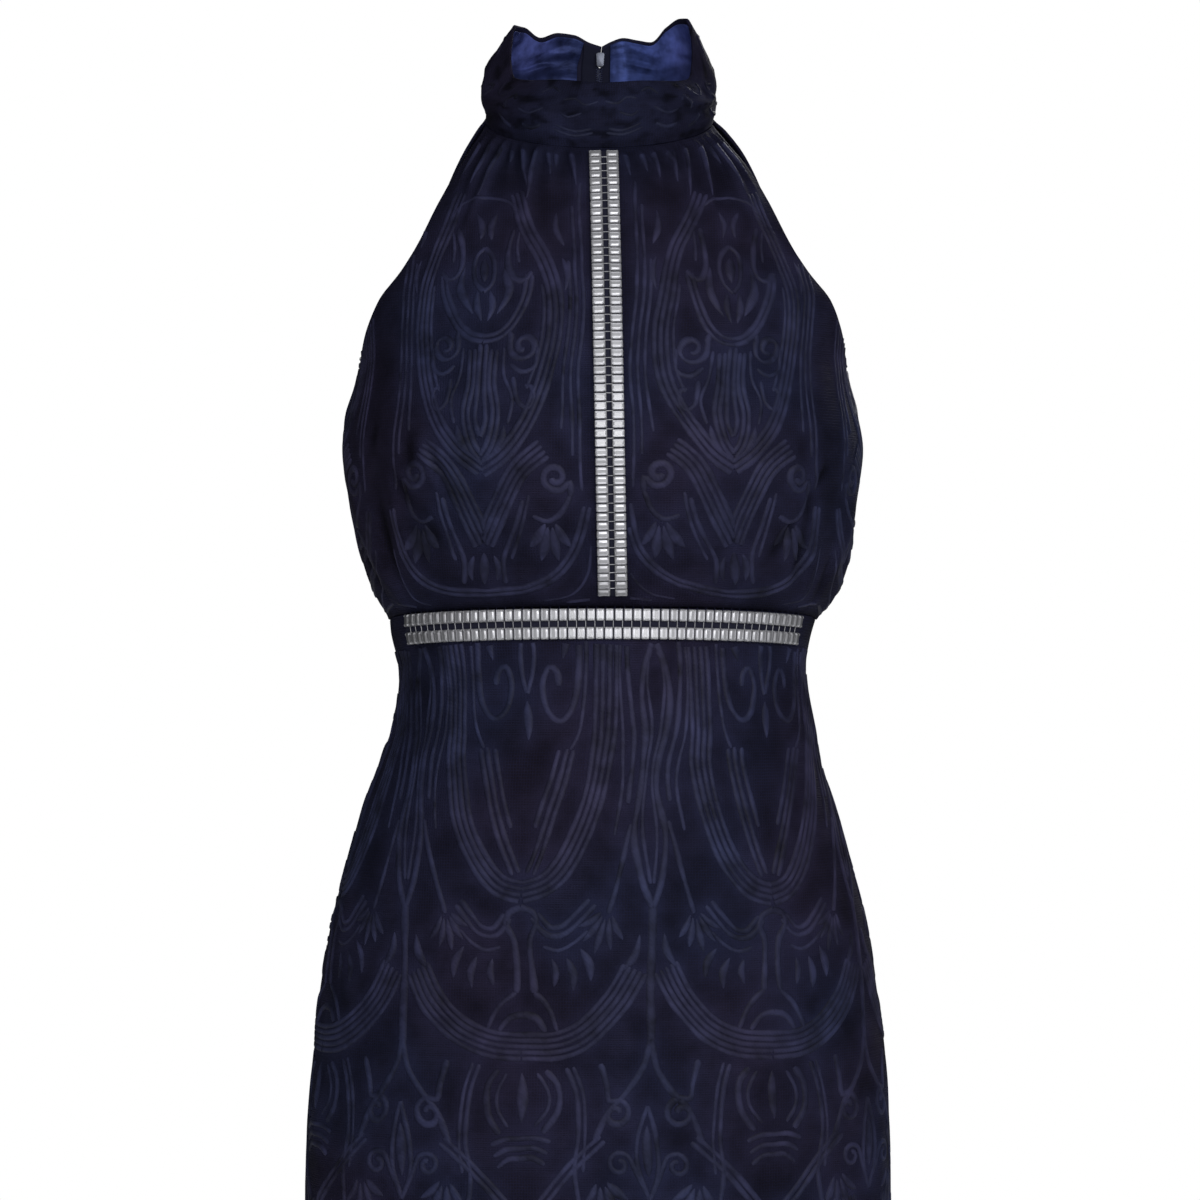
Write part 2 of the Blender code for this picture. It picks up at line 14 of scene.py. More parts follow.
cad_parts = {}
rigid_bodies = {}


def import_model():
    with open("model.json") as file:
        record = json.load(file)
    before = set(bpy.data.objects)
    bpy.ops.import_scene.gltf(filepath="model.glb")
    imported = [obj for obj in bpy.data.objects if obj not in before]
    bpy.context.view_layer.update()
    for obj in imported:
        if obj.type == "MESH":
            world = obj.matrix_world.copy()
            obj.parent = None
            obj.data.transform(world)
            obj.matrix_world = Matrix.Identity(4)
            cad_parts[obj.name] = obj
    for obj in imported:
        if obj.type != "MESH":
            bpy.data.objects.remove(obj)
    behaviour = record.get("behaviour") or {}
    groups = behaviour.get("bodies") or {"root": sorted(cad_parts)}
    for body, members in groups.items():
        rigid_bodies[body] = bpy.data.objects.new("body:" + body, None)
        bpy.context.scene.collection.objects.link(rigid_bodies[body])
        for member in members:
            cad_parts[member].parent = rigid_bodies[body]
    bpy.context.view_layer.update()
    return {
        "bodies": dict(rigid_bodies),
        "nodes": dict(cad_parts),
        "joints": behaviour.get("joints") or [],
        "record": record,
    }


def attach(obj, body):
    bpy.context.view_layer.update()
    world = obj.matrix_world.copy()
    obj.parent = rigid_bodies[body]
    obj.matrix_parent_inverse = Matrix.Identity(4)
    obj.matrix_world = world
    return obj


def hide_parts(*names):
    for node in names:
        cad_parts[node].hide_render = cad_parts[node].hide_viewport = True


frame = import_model()

# ---------------------------------------------------------------------------------------------
# The bodice's front. One panel of corded lace on net, its backing and its lining, about 2 mm in
# all. It is gathered into the collar, cut away for the arms and bloused over the waist seam.
# ---------------------------------------------------------------------------------------------
CM = 0.01
MM = 0.001
CLOTH = 2.0 * MM
SEAM_GAP = 0.05 * MM
NECK_RISE = 0.7 * MM
WAIST = 30.3
HEM = 85.6


def rows_of(kind, *rows):
    """A table whose rows have names for their columns."""
    return tuple(kind(*row) for row in rows)


# The two side lines of the dress in centimetres: drop is the distance below the collar seam's
# sides, half_width half the distance between them, and lean the sideways shift of their middle.
Side = namedtuple("Side", "drop half_width lean")
SIDES = rows_of(
    Side,
    (0.0, 6.93, 0.00), (1.0, 7.75, 0.15), (2.4, 8.70, 0.25), (4.9, 9.95, 0.30),
    (7.8, 11.25, 0.30), (9.4, 12.20, 0.32), (11.3, 13.65, 0.36), (13.4, 14.45, 0.28),
    (16.2, 14.95, 0.20), (20.0, 15.68, 0.22), (23.5, 15.25, 0.22), (26.0, 14.80, 0.28),
    (27.8, 14.30, 0.32), (29.2, 13.70, 0.35), (30.3, 12.98, 0.22), (31.3, 12.70, 0.12),
    (33.4, 12.32, 0.20), (36.8, 12.80, 0.26), (38.8, 13.32, 0.08), (41.6, 14.33, 0.00),
    (45.9, 15.55, 0.00), (49.7, 16.42, 0.00), (55.1, 17.12, 0.00), (61.4, 17.62, -0.05),
    (66.0, 17.70, -0.05), (75.0, 17.50, 0.00), (HEM, 17.00, 0.00),
)
# The section of a front or back at a drop: depth is how far its middle stands from the plane of
# the side lines, edge how far its two edges do beside an armhole, rise how much its middle is
# higher than the side lines, and square 2 for an ellipse and more for a boxier outline.
Section = namedtuple("Section", "drop rise depth edge square", defaults=(0.0, 2.15))
BODICE_FRONT = rows_of(
    Section,
    (0.0, -2.15, 6.0, 0.835, 2.0), (2.4, -1.30, 7.2, 2.50, 2.0), (4.9, -0.70, 8.4, 4.10, 2.0),
    (7.8, -0.30, 9.7, 5.00, 2.0), (10.6, 0.00, 10.9, 4.70, 2.0), (13.2, 0.00, 11.80, 3.00, 2.1),
    (14.6, 0.00, 12.25, 1.20, 2.15), (15.3, 0.00, 12.45, 0.00, 2.2),
    (17.5, 0.00, 13.05, 0.00, 2.3), (20.0, 0.00, 13.5, 0.00, 2.4), (23.5, 0.00, 13.0, 0.00, 2.35),
    (26.0, 0.10, 12.2, 0.00, 2.25), (28.2, 0.35, 11.2), (29.5, 0.60, 10.4), (WAIST, 0.75, 9.8),
)
# The gathers under the collar: across is each ridge's share of the half girth, height is in
# millimetres, length how far it runs below the seam, spread its half width as a share, and slant
# how far across it goes for each centimetre down.
Gather = namedtuple("Gather", "across height length spread slant", defaults=(0.026, 0.0))
GATHERS = rows_of(
    Gather,
    (-0.960, 1.4, 2.4, 0.022), (-0.880, 2.2, 3.6, 0.024, -0.006),
    (-0.771, 3.2, 4.4, 0.030, -0.004), (-0.656, 4.0, 5.6, 0.028, -0.012),
    (-0.590, 2.0, 2.2, 0.020, 0.006), (-0.514, 4.2, 4.6, 0.026, 0.022),
    (-0.401, 4.4, 5.8, 0.028, -0.003), (-0.330, 2.8, 3.2, 0.034, 0.010),
    (-0.262, 1.8, 2.6, 0.022, -0.008), (-0.180, 3.4, 4.4, 0.022, 0.006),
    (0.138, 1.8, 3.4, 0.022, 0.006), (0.228, 2.6, 3.0, 0.036, 0.008),
    (0.328, 4.2, 3.6, 0.026, -0.004), (0.406, 3.6, 2.8, 0.022, 0.014),
    (0.470, 2.0, 4.2, 0.020, -0.016), (0.545, 4.4, 5.4, 0.028, -0.018),
    (0.661, 4.2, 5.6, 0.028, -0.014), (0.736, 2.2, 2.8, 0.020, 0.006),
    (0.809, 3.4, 4.8, 0.026, 0.004), (0.905, 2.4, 3.6, 0.022, 0.004), (0.965, 1.4, 2.4, 0.022),
)
GATHER_START = 0.45
GATHER_WANDER = 0.022
WANDERS_ACROSS, WANDERS_DOWN = 6, 0.45  # how often over the half girth and over a centimetre
GATHER_TROUGH = 1.4 * MM
GATHER_TROUGH_LENGTH = 3.6
# The ridge height above which the cloth between the gathers gets no painted shade.
GATHER_DEEP = 2.6 * MM
UNGATHERED = 0.11  # the share of the half girth at the middle that is sewn flat
UNGATHERED_FADE = 0.05
# The folds: across runs from -1 at the wearer's right edge to 1 at the left, spread and reach
# are half sizes in that share and in centimetres, height is in millimetres, and slant turns the
# fold by that much across for each centimetre down.
Fold = namedtuple("Fold", "across drop spread reach height slant")
FRONT_FOLDS = rows_of(
    Fold,
    (-0.651, 19.3, 0.018, 1.0, -1.6, 0.004), (-0.509, 20.5, 0.016, 1.1, -2.2, 0.000),
    (-0.452, 21.2, 0.016, 2.0, 1.6, 0.014), (-0.417, 21.7, 0.016, 1.3, -2.4, 0.018),
    (-0.545, 22.7, 0.017, 1.1, -2.2, 0.020), (-0.780, 23.4, 0.060, 3.8, 3.4, 0.014),
    (-0.455, 24.0, 0.030, 0.8, 1.9, 0.000), (-0.584, 24.5, 0.018, 1.6, 1.8, 0.004),
    (-0.475, 25.2, 0.024, 1.2, -1.6, 0.010), (-0.533, 25.9, 0.026, 1.3, -1.7, 0.000),
    (-0.662, 25.9, 0.016, 2.6, -2.6, -0.006), (-0.437, 26.4, 0.018, 0.8, 1.3, 0.000),
    (-0.835, 26.9, 0.020, 2.2, -2.2, 0.012), (-0.740, 27.8, 0.030, 1.6, 2.2, 0.010),
    (-0.600, 27.8, 0.030, 1.4, 1.6, 0.010), (0.509, 21.4, 0.016, 1.6, 1.5, 0.000),
    (0.616, 21.7, 0.016, 0.7, -2.0, -0.020), (0.581, 21.9, 0.015, 0.5, 1.6, 0.000),
    (0.885, 22.0, 0.020, 2.4, -1.8, -0.006), (0.582, 23.5, 0.016, 0.9, -2.0, 0.006),
    (0.510, 23.7, 0.030, 0.7, 3.4, 0.000), (0.800, 25.2, 0.060, 3.6, 3.8, -0.012),
    (0.513, 25.4, 0.019, 1.0, -3.2, -0.020), (0.315, 26.0, 0.014, 2.0, 1.2, 0.008),
    (0.591, 26.4, 0.016, 1.6, -2.2, 0.006), (0.649, 27.0, 0.021, 1.9, 3.0, 0.010),
    (0.900, 27.0, 0.045, 2.6, 3.0, 0.010), (0.746, 27.8, 0.018, 1.8, -2.6, 0.004),
    (0.900, 17.6, 0.030, 1.4, 1.3, -0.050), (-0.910, 18.0, 0.030, 1.5, 1.4, 0.050),
    (0.380, 28.3, 0.022, 1.0, 1.2, -0.012), (0.220, 28.6, 0.018, 0.8, 0.9, 0.010),
    (-0.240, 28.5, 0.018, 0.9, 1.0, -0.008), (-0.360, 28.2, 0.020, 1.1, 1.0, 0.012),
)


def slope_at(table, index, column):
    """The slope of a column at one of its rows: level at a peak or a dip."""
    sides = [
        (table[high][column] - table[low][column]) / (table[high][0] - table[low][0])
        for low, high in ((index - 1, index), (index, index + 1))
        if low >= 0 and high < len(table)
    ]
    if sides[0] * sides[-1] <= 0:
        return 0.0
    return 2 * sides[0] * sides[-1] / (sides[0] + sides[-1])


def smooth_row(table, key):
    """The row of a table at a key between its own, on a smooth curve through each column."""
    key = min(max(key, table[0][0]), table[-1][0])
    low = max(index for index in range(len(table) - 1) if table[index][0] <= key)
    step = table[low + 1][0] - table[low][0]
    share = (key - table[low][0]) / step
    values = []
    for column in range(len(table[0])):
        start, end = table[low][column], table[low + 1][column]
        start_rise = slope_at(table, low, column) * step
        end_rise = slope_at(table, low + 1, column) * step
        values.append(
            start * (1 + 2 * share) * (1 - share) ** 2
            + start_rise * share * (1 - share) ** 2
            + end * share**2 * (3 - 2 * share)
            - end_rise * share**2 * (1 - share)
        )
    return type(table[0])(*values)


def running_lengths(points):
    """The length along a line of points at each of them."""
    lengths = [0.0]
    for near, far in zip(points, points[1:]):
        lengths.append(lengths[-1] + math.dist(near, far))
    return lengths


ARC_STEPS = 48


@lru_cache(maxsize=None)
def half_section(table, drop):
    """A section's outline from its middle to its edge, and the length along it at each point."""
    side = smooth_row(SIDES, drop)
    section = smooth_row(table, drop)
    power = 2 / section.square
    wrap = math.acos((max(section.edge, 0.0) / section.depth) ** (1 / power))
    points = []
    for step in range(ARC_STEPS + 1):
        turn = wrap * step / ARC_STEPS
        out = (math.sin(turn) / math.sin(wrap)) ** power
        points.append((side.half_width * out, section.depth * max(math.cos(turn), 0.0) ** power))
    return points, running_lengths(points), side, section


def half_girth(table, drop):
    """The length in centimetres from the middle of a panel to its edge."""
    return half_section(table, round(drop, 2))[1][-1]


def panel_point(table, facing, across, drop):
    """The point of a front (facing -1) or back (facing 1), across -1 to 1 of its girth."""
    points, lengths, side, section = half_section(table, round(drop, 2))
    wanted = abs(across) * lengths[-1]
    index = min(max(bisect_right(lengths, wanted), 1), ARC_STEPS)
    share = (wanted - lengths[index - 1]) / (lengths[index] - lengths[index - 1])
    out, forward = (a + (b - a) * share for a, b in zip(points[index - 1], points[index]))
    height = section.rise * forward / section.depth - drop
    x = math.copysign(out, across) + side.lean
    return Vector((x, facing * forward, height)) * CM + Vector((0, facing * SEAM_GAP / 2, 0))


SMALL_ACROSS = 0.004  # the steps that a direction on a panel is measured over
SMALL_DROP = 0.1


@lru_cache(maxsize=None)
def panel_frame(table, facing, across, drop):
    """A point of a panel without its folds, and its directions out, to the right and down."""
    right = panel_point(table, facing, across + SMALL_ACROSS, drop)
    left = panel_point(table, facing, across - SMALL_ACROSS, drop)
    upper = panel_point(table, facing, across, max(drop - SMALL_DROP, table[0].drop))
    lower = panel_point(table, facing, across, min(drop + SMALL_DROP, table[-1].drop))
    sideways, downwards = right - left, lower - upper
    normal = sideways.cross(downwards).normalized() * facing
    middle = panel_point(table, facing, across, drop)
    return middle, normal, sideways.normalized(), downwards.normalized()


# A panel of the dress: its sections, the side it faces, how far its folds lift its cloth and how
# much painted shade its cloth gets in their hollows.
Panel = namedtuple("Panel", "table facing lift hollow")


def on_cloth(panel, across, drop, height=0.0):
    """A point that stands a height off the outside of a panel's cloth."""
    point, normal = panel_frame(panel.table, panel.facing, across, drop)[:2]
    return point + normal * (height + panel.lift(across, drop))


FADED = 3  # how many half sizes from its middle a ridge is taken to have died away


def fold_height(folds, across, drop):
    """How far a panel's folds lift it here, each a soft ridge that dies away along its length."""
    total = 0.0
    for fold in folds:
        along = (drop - fold.drop) / fold.reach
        aside = (across - fold.across - fold.slant * (drop - fold.drop)) / fold.spread
        if abs(along) < FADED and abs(aside) < FADED:
            total += fold.height * MM * math.exp(-along**2 - aside**2)
    return total


def smooth_step(share):
    share = min(max(share, 0.0), 1.0)
    return share * share * (3 - 2 * share)


def gather_wander(across, drop):
    """How far the gathers' ridges have wandered sideways on their way down."""
    place = Vector((across * WANDERS_ACROSS, drop * WANDERS_DOWN, 0.0))
    return GATHER_WANDER * noise.noise(place)


@lru_cache(maxsize=None)
def gather_ridges(across, drop):
    total = 0.0
    wander = gather_wander(across, drop)
    for gather in GATHERS:
        aside = (across + wander - gather.across - gather.slant * drop) / gather.spread
        if abs(aside) < FADED:
            total += gather.height * MM * math.exp(-(aside**2) - (drop / gather.length) ** 2)
    return total


def gather_start(drop):
    """How far the cloth has come out of the collar's seam, from 0 at the seam to 1."""
    return 1 - math.exp(-((drop / GATHER_START) ** 2))


def gathered(across, drop):
    """How much of the cloth's fullness is here, from 0 to 1. There is none under the trim."""
    fullness = math.exp(-((drop / GATHER_TROUGH_LENGTH) ** 2))
    return smooth_step((abs(across) - UNGATHERED) / UNGATHERED_FADE) * gather_start(drop) * fullness


def gather_height(across, drop):
    return gather_ridges(across, drop) * gather_start(drop) - GATHER_TROUGH * gathered(across, drop)


RIPPLE_SIZE = 3.4 * CM
RIPPLE_HEIGHT = 0.35 * MM
RIPPLES_ACROSS, RIPPLES_DOWN = 1.6, 0.7
SEAM_DIP = 0.8 * MM
SEAM_DIP_REACH = 0.35
WAIST_TUCK_SPREAD = 1.6
# Painted shade: how far the tuck's shade reaches above the waist seam and how dark it is, how dark
# the gathers' troughs are, and at what crease depth the creases are darkest and how dark.
WAIST_TUCK_SHADE = 0.3
WAIST_TUCK_DARK = 0.8
GATHER_DARK = 0.6
FOLD_DEEP = 2.2 * MM
FOLD_DARK = 0.8


def ripple(table, across, drop):
    """The slight unevenness of worn cloth, in low soft waves that run mostly down the dress."""
    aside = across * half_girth(table, drop)
    place = Vector((aside * RIPPLES_ACROSS, drop * RIPPLES_DOWN, table[0].rise))
    return noise.noise(place * CM / RIPPLE_SIZE) * RIPPLE_HEIGHT


def seam_dip(distance):
    """How far a seam pulls the cloth in at a distance from it in centimetres."""
    return -SEAM_DIP * math.exp(-((distance / SEAM_DIP_REACH) ** 2))


def bodice_front_lift(across, drop):
    lift = gather_height(across, drop) + fold_height(FRONT_FOLDS, across, drop)
    tuck = seam_dip((WAIST - drop) / WAIST_TUCK_SPREAD)
    return lift + ripple(BODICE_FRONT, across, drop) + seam_dip(drop) + tuck


def fold_painted_shade(folds, across, drop):
    """The painted shade in a panel's creases, where they hide their cloth from the light, from 0 to
    1.
    """
    return min(max(-fold_height(folds, across, drop) / FOLD_DEEP, 0.0), FOLD_DARK)


# Painted shade on the bodice front: between the gathers' ridges, in the tuck above the waist seam
# and in the creases.
def bodice_front_painted_shade(across, drop):
    between = max(1 - gather_ridges(across, drop) / GATHER_DEEP, 0.0) * gathered(across, drop)
    tuck = WAIST_TUCK_DARK * math.exp(-(((WAIST - drop) / WAIST_TUCK_SHADE) ** 2))
    return min(GATHER_DARK * between + tuck + fold_painted_shade(FRONT_FOLDS, across, drop), 1.0)


bodice_front_panel = Panel(BODICE_FRONT, -1, bodice_front_lift, bodice_front_painted_shade)


def finished(name, shape, finish, sharp_angle=50):
    """The object of a bmesh, shaded smooth but for its sharp edges."""
    mesh = bpy.data.meshes.new(name)
    shape.to_mesh(mesh)
    shape.free()
    mesh.materials.append(finish)
    mesh.shade_smooth()
    mesh.set_sharp_from_angle(angle=math.radians(sharp_angle))
    piece = bpy.data.objects.new(name, mesh)
    bpy.context.scene.collection.objects.link(piece)
    return piece


EDGE_ROLL = 0.7 * MM


def cloth_wall(name, columns, rows, place, flat, thickness, finish, lining=None, hollow=None):
    """A closed wall of cloth on place(u, v, height), with flat(u, v) in metres as its UV map.

    u runs to the right as seen from outside, and v upwards. Its edges are rolled, and a lining
    shows on its inside where one is given. The painted shade from the last function, where one is
    given, goes in an attribute of the same name.
    """
    cloth = bmesh.new()
    # The attribute that holds the painted shade.
    depth = cloth.verts.layers.float.new("hollow")
    bmesh.ops.create_grid(cloth, x_segments=columns, y_segments=rows, size=0.5)
    inside = cloth.verts[:]
    lined = cloth.faces[:]
    region = inside + cloth.edges[:] + cloth.faces[:]
    bmesh.ops.extrude_face_region(cloth, geom=region, use_keep_orig=True)
    cut = cloth.loops.layers.uv.new("UVMap")
    for face in cloth.faces:
        for loop in face.loops:
            loop[cut].uv = flat(loop.vert.co.x + 0.5, loop.vert.co.y + 0.5)
    for face in lined:
        face.material_index = 0 if lining is None else 1
    if hollow is not None:
        for corner in cloth.verts:
            corner[depth] = hollow(corner.co.x + 0.5, corner.co.y + 0.5)
    for corner in cloth.verts[len(inside) :]:
        corner.co = place(corner.co.x + 0.5, corner.co.y + 0.5, 0.0)
    for corner in inside:
        corner.co = place(corner.co.x + 0.5, corner.co.y + 0.5, -thickness)
    bmesh.ops.recalc_face_normals(cloth, faces=cloth.faces)
    inner = set(inside)
    sides = {face for face in cloth.faces if 0 < len(inner.intersection(face.verts)) < 4}
    rims = [edge for edge in cloth.edges if len(sides.intersection(edge.link_faces)) == 1]
    bmesh.ops.bevel(
        cloth, geom=rims, offset=min(EDGE_ROLL, thickness / 3), affect="EDGES", segments=2,
        profile=0.5, material=-1, clamp_overlap=True,
    )
    piece = finished(name, cloth, finish)
    if lining is not None:
        piece.data.materials.append(lining)
    return piece


def panel_drop(panel, v):
    """The drop at a share v of a panel's height, clear of the waist seam and up to the neck's."""
    top, bottom = panel.table[0].drop, panel.table[-1].drop
    drop = round(bottom + (top - bottom) * v, 4)
    if v > 0.999:
        drop += (SEAM_GAP if top > 0 else -NECK_RISE) / CM
    return drop


def sew_panel(name, panel, columns, rows, half=0):
    """A panel of lace on its lining, or for a half of 1 or -1 the half on that side of the zip."""

    def across_at(u):
        if half == 0:
            return round(2 * u - 1, 5)
        return round(half * (1 - u if half > 0 else u), 5)

    def place(u, v, height):
        point = on_cloth(panel, across_at(u), panel_drop(panel, v), height)
        if across_at(u) == 0:
            point.x += half * SEAM_GAP / 2
        return point

    def flat(u, v):
        drop = panel_drop(panel, v)
        return across_at(u) * half_girth(panel.table, drop) * CM, -drop * CM

    # The painted shade of the panel's folds and gathers.
    def hollow(u, v):
        return panel.hollow(across_at(u), panel_drop(panel, v))

    piece = cloth_wall(name, columns, rows, place, flat, CLOTH, lace, lining, hollow)
    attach(piece, "dress")
    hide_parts(name.removesuffix("_lace"))
    return piece


def new_material(name, colour, roughness, **settings):
    """A Principled material, with its sockets named in words."""
    made = bpy.data.materials.new(name)
    made.use_nodes = True
    shader = shader_of(made.node_tree)
    set_inputs(shader, Base_Color=opaque(colour), Roughness=roughness, **settings)
    return made


def opaque(colour):
    return (*colour, 1.0)


def shader_of(tree):
    return tree.nodes["Principled BSDF"]


def add_node(tree, kind, **settings):
    """A node of a material, its plain settings given by name."""
    node = tree.nodes.new(kind)
    for setting, value in settings.items():
        setattr(node, setting, value)
    return node


def set_inputs(node, **values):
    for name, value in values.items():
        node.inputs[name.replace("_", " ")].default_value = value
    return node


def add_math(tree, operation, *constants):
    """A math node, with a constant on each of its sockets that isn't given as None."""
    node = add_node(tree, "ShaderNodeMath", operation=operation)
    for socket, value in zip(node.inputs, constants):
        if value is not None:
            socket.default_value = value
    return node


def add_mix(tree, blend_type="MIX", **values):
    """A mix of two colours A and B."""
    node = add_node(tree, "ShaderNodeMix", data_type="RGBA", blend_type=blend_type)
    return set_inputs(node, **values)


def add_attribute(tree, name):
    return add_node(tree, "ShaderNodeAttribute", attribute_name=name)


def join(tree, *links):
    """Joins the nodes of a tree, by links that each say (node, output, node, input)."""
    for giver, output, taker, entry in links:
        tree.links.new(giver.outputs[output], taker.inputs[entry])


def add_bump(tree, strength, distance, giver, output):
    """A node's output as the surface's relief."""
    bump = set_inputs(add_node(tree, "ShaderNodeBump"), Strength=strength, Distance=distance)
    join(tree, (giver, output, bump, "Height"), (bump, "Normal", shader_of(tree), "Normal"))


def new_group(name, inputs, outputs):
    """A shader node group. An input is given with its default, or else with its kind."""
    group = bpy.data.node_groups.new(name, "ShaderNodeTree")
    for label, default in inputs.items():
        kind = default if isinstance(default, str) else "Float"
        socket = group.interface.new_socket(
            name=label, in_out="INPUT", socket_type="NodeSocket" + kind
        )
        if kind != default:
            socket.default_value = default
    for label, kind in outputs.items():
        group.interface.new_socket(name=label, in_out="OUTPUT", socket_type="NodeSocket" + kind)
    return group, group.nodes.new("NodeGroupInput"), group.nodes.new("NodeGroupOutput")


def use_group(tree, group, **values):
    return set_inputs(add_node(tree, "ShaderNodeGroup", node_tree=group), **values)


def make_net_group():
    """Net: fine six-sided meshes, as the share of thread at a point."""
    group, given, result = new_group(
        "net ground", {"Vector": "Vector", "Mesh Size": 1.7 * MM, "Thread Share": 0.22},
        {"Thread": "Float"},
    )
    density = add_math(group, "DIVIDE", 1.0)
    cells = add_node(
        group, "ShaderNodeTexVoronoi", feature="DISTANCE_TO_EDGE", voronoi_dimensions="2D"
    )
    set_inputs(cells, Randomness=0.25)
    edge = add_node(group, "ShaderNodeMapRange", interpolation_type="SMOOTHSTEP")
    set_inputs(edge, To_Min=1.0, To_Max=0.0)
    join(
        group, (given, "Mesh Size", density, 1), (given, "Vector", cells, "Vector"),
        (density, 0, cells, "Scale"), (cells, "Distance", edge, "Value"),
        (given, "Thread Share", edge, "From Max"), (edge, "Result", result, "Thread"),
    )
    return group


WAVE_SCALE = 0.3142  # the scale of a wave texture whose bands are a metre apart


def make_filling_group():
    """Filling: rows of close stitches that cover the net in patches, as their height at a point."""
    group, given, result = new_group(
        "stitched filling", {"Vector": "Vector", "Row Pitch": 1.3 * MM, "Patch Size": 42.0 * MM},
        {"Height": "Float", "Patch": "Float"},
    )
    rows = add_math(group, "DIVIDE", WAVE_SCALE)
    wave = add_node(group, "ShaderNodeTexWave", bands_direction="Y")
    set_inputs(wave, Distortion=1.2, Detail=1.0, Detail_Scale=2.0)
    spread = add_math(group, "DIVIDE", 1.0)
    patches = add_node(group, "ShaderNodeTexNoise", noise_dimensions="2D")
    set_inputs(patches, Detail=2.0, Roughness=0.5)
    patch = add_node(group, "ShaderNodeMapRange", interpolation_type="SMOOTHSTEP")
    set_inputs(patch, From_Min=0.40, From_Max=0.64)
    height = add_math(group, "MULTIPLY")
    join(
        group, (given, "Row Pitch", rows, 1), (given, "Vector", wave, "Vector"),
        (rows, 0, wave, "Scale"), (given, "Patch Size", spread, 1),
        (given, "Vector", patches, "Vector"), (spread, 0, patches, "Scale"),
        (patches, "Fac", patch, "Value"), (wave, "Fac", height, 0), (patch, "Result", height, 1),
        (height, 0, result, "Height"), (patch, "Result", result, "Patch"),
    )
    return group


def make_tone_and_painted_shade_group():
    """Uneven tone: soft patches that differ at random, and painted shade in the hollows of folds, on
    a colour.
    """
    group, given, result = new_group(
        "uneven tone and painted shade",
        {
            "Colour": "Color", "Patch Size": 26.0 * MM, "Amount": 0.4,
            "Hue Patch Size": 110.0 * MM, "Hollow": 0.0, "Hollow Depth": 0.75,
        },
        {"Colour": "Color"},
    )
    place = add_node(group, "ShaderNodeTexCoord")
    spread = add_math(group, "DIVIDE", 1.0)
    patches = add_node(group, "ShaderNodeTexNoise")
    set_inputs(patches, Detail=3.0, Roughness=0.6)
    centred = add_math(group, "MULTIPLY_ADD", None, 4.0, -2.0)
    tone = add_math(group, "MULTIPLY_ADD", None, None, 1.0)
    # Painted shade: the colour darkens by the shade given, times its depth.
    hollow = add_math(group, "MULTIPLY")
    open_share = add_math(group, "SUBTRACT", 1.0)
    factor = add_math(group, "MULTIPLY")
    toned = add_mix(group, "MULTIPLY", Factor=1.0)
    hue_spread = add_math(group, "DIVIDE", 1.0)
    hue_patches = add_node(group, "ShaderNodeTexNoise")
    set_inputs(hue_patches, Detail=1.0, Roughness=0.5)
    hue_share = add_node(group, "ShaderNodeMapRange")
    set_inputs(hue_share, From_Min=0.38, From_Max=0.62)
    hue = add_mix(group, A=opaque(WARM_HUE), B=opaque(COOL_HUE))
    hued = add_mix(group, "MULTIPLY", Factor=1.0)
    join(
        group, (given, "Patch Size", spread, 1), (place, "Object", patches, "Vector"),
        (spread, 0, patches, "Scale"), (patches, "Fac", centred, 0), (centred, 0, tone, 0),
        (given, "Amount", tone, 1), (given, "Hollow", hollow, 0),
        (given, "Hollow Depth", hollow, 1), (hollow, 0, open_share, 1), (tone, 0, factor, 0),
        (open_share, 0, factor, 1), (given, "Colour", toned, "A"), (factor, 0, toned, "B"),
        (given, "Hue Patch Size", hue_spread, 1), (place, "Object", hue_patches, "Vector"),
        (hue_spread, 0, hue_patches, "Scale"), (hue_patches, "Fac", hue_share, "Value"),
        (hue_share, "Result", hue, "Factor"), (toned, "Result", hued, "A"),
        (hue, "Result", hued, "B"), (hued, "Result", result, "Colour"),
    )
    return group


WARM_HUE = (1.08, 0.95, 0.94)
COOL_HUE = (0.92, 1.03, 1.08)
LINING_COLOUR = (0.0070, 0.0062, 0.0128)
NET_COLOUR = (0.0100, 0.0104, 0.0275)
FILLING_COLOUR = (0.0120, 0.0116, 0.0270)
WORKED_COLOUR = (0.0142, 0.0146, 0.0350)
net_group, filling_group, tone_and_painted_shade_group = make_net_group(), make_filling_group(), make_tone_and_painted_shade_group()


def add_tone_and_painted_shade(tree, **values):
    """The uneven tone of a cloth's colour, with painted shade where its own shade attribute says."""
    tone_and_painted_shade = use_group(tree, tone_and_painted_shade_group, **values)
    join(
        tree, (add_attribute(tree, "hollow"), "Fac", tone_and_painted_shade, "Hollow"),
        (tone_and_painted_shade, "Colour", shader_of(tree), "Base Color"),
    )
    return tone_and_painted_shade


def make_lace():
    """Navy net with stitched fillings over a plain dark lining."""
    made = new_material("navy lace on lining", NET_COLOUR, 0.80, Specular_IOR_Level=0.05)
    tree = made.node_tree
    cut = add_node(tree, "ShaderNodeUVMap", uv_map="UVMap")
    net = use_group(tree, net_group)
    filling = use_group(tree, filling_group)
    thread = add_math(tree, "MAXIMUM")
    threads = add_mix(tree, A=opaque(NET_COLOUR), B=opaque(FILLING_COLOUR))
    colour = add_mix(tree, A=opaque(LINING_COLOUR))
    ground = add_mix(tree, B=opaque(WORKED_COLOUR))
    # Its colour gets random tone, and painted shade in the folds where its attribute says.
    join(
        tree, (cut, "UV", net, "Vector"), (cut, "UV", filling, "Vector"), (net, "Thread", thread, 0),
        (filling, "Height", thread, 1), (filling, "Patch", threads, "Factor"),
        (threads, "Result", colour, "B"), (thread, 0, colour, "Factor"),
        (add_attribute(tree, "worked"), "Fac", ground, "Factor"), (colour, "Result", ground, "A"),
        (ground, "Result", add_tone_and_painted_shade(tree), "Colour"),
    )
    add_bump(tree, 0.6, 0.5 * MM, thread, 0)
    return made


lace = make_lace()
lining = new_material("navy lining", (0.009, 0.009, 0.022), 0.7, Specular_IOR_Level=0.05)
bodice_front = sew_panel("bodice_front_lace", bodice_front_panel, 168, 120)

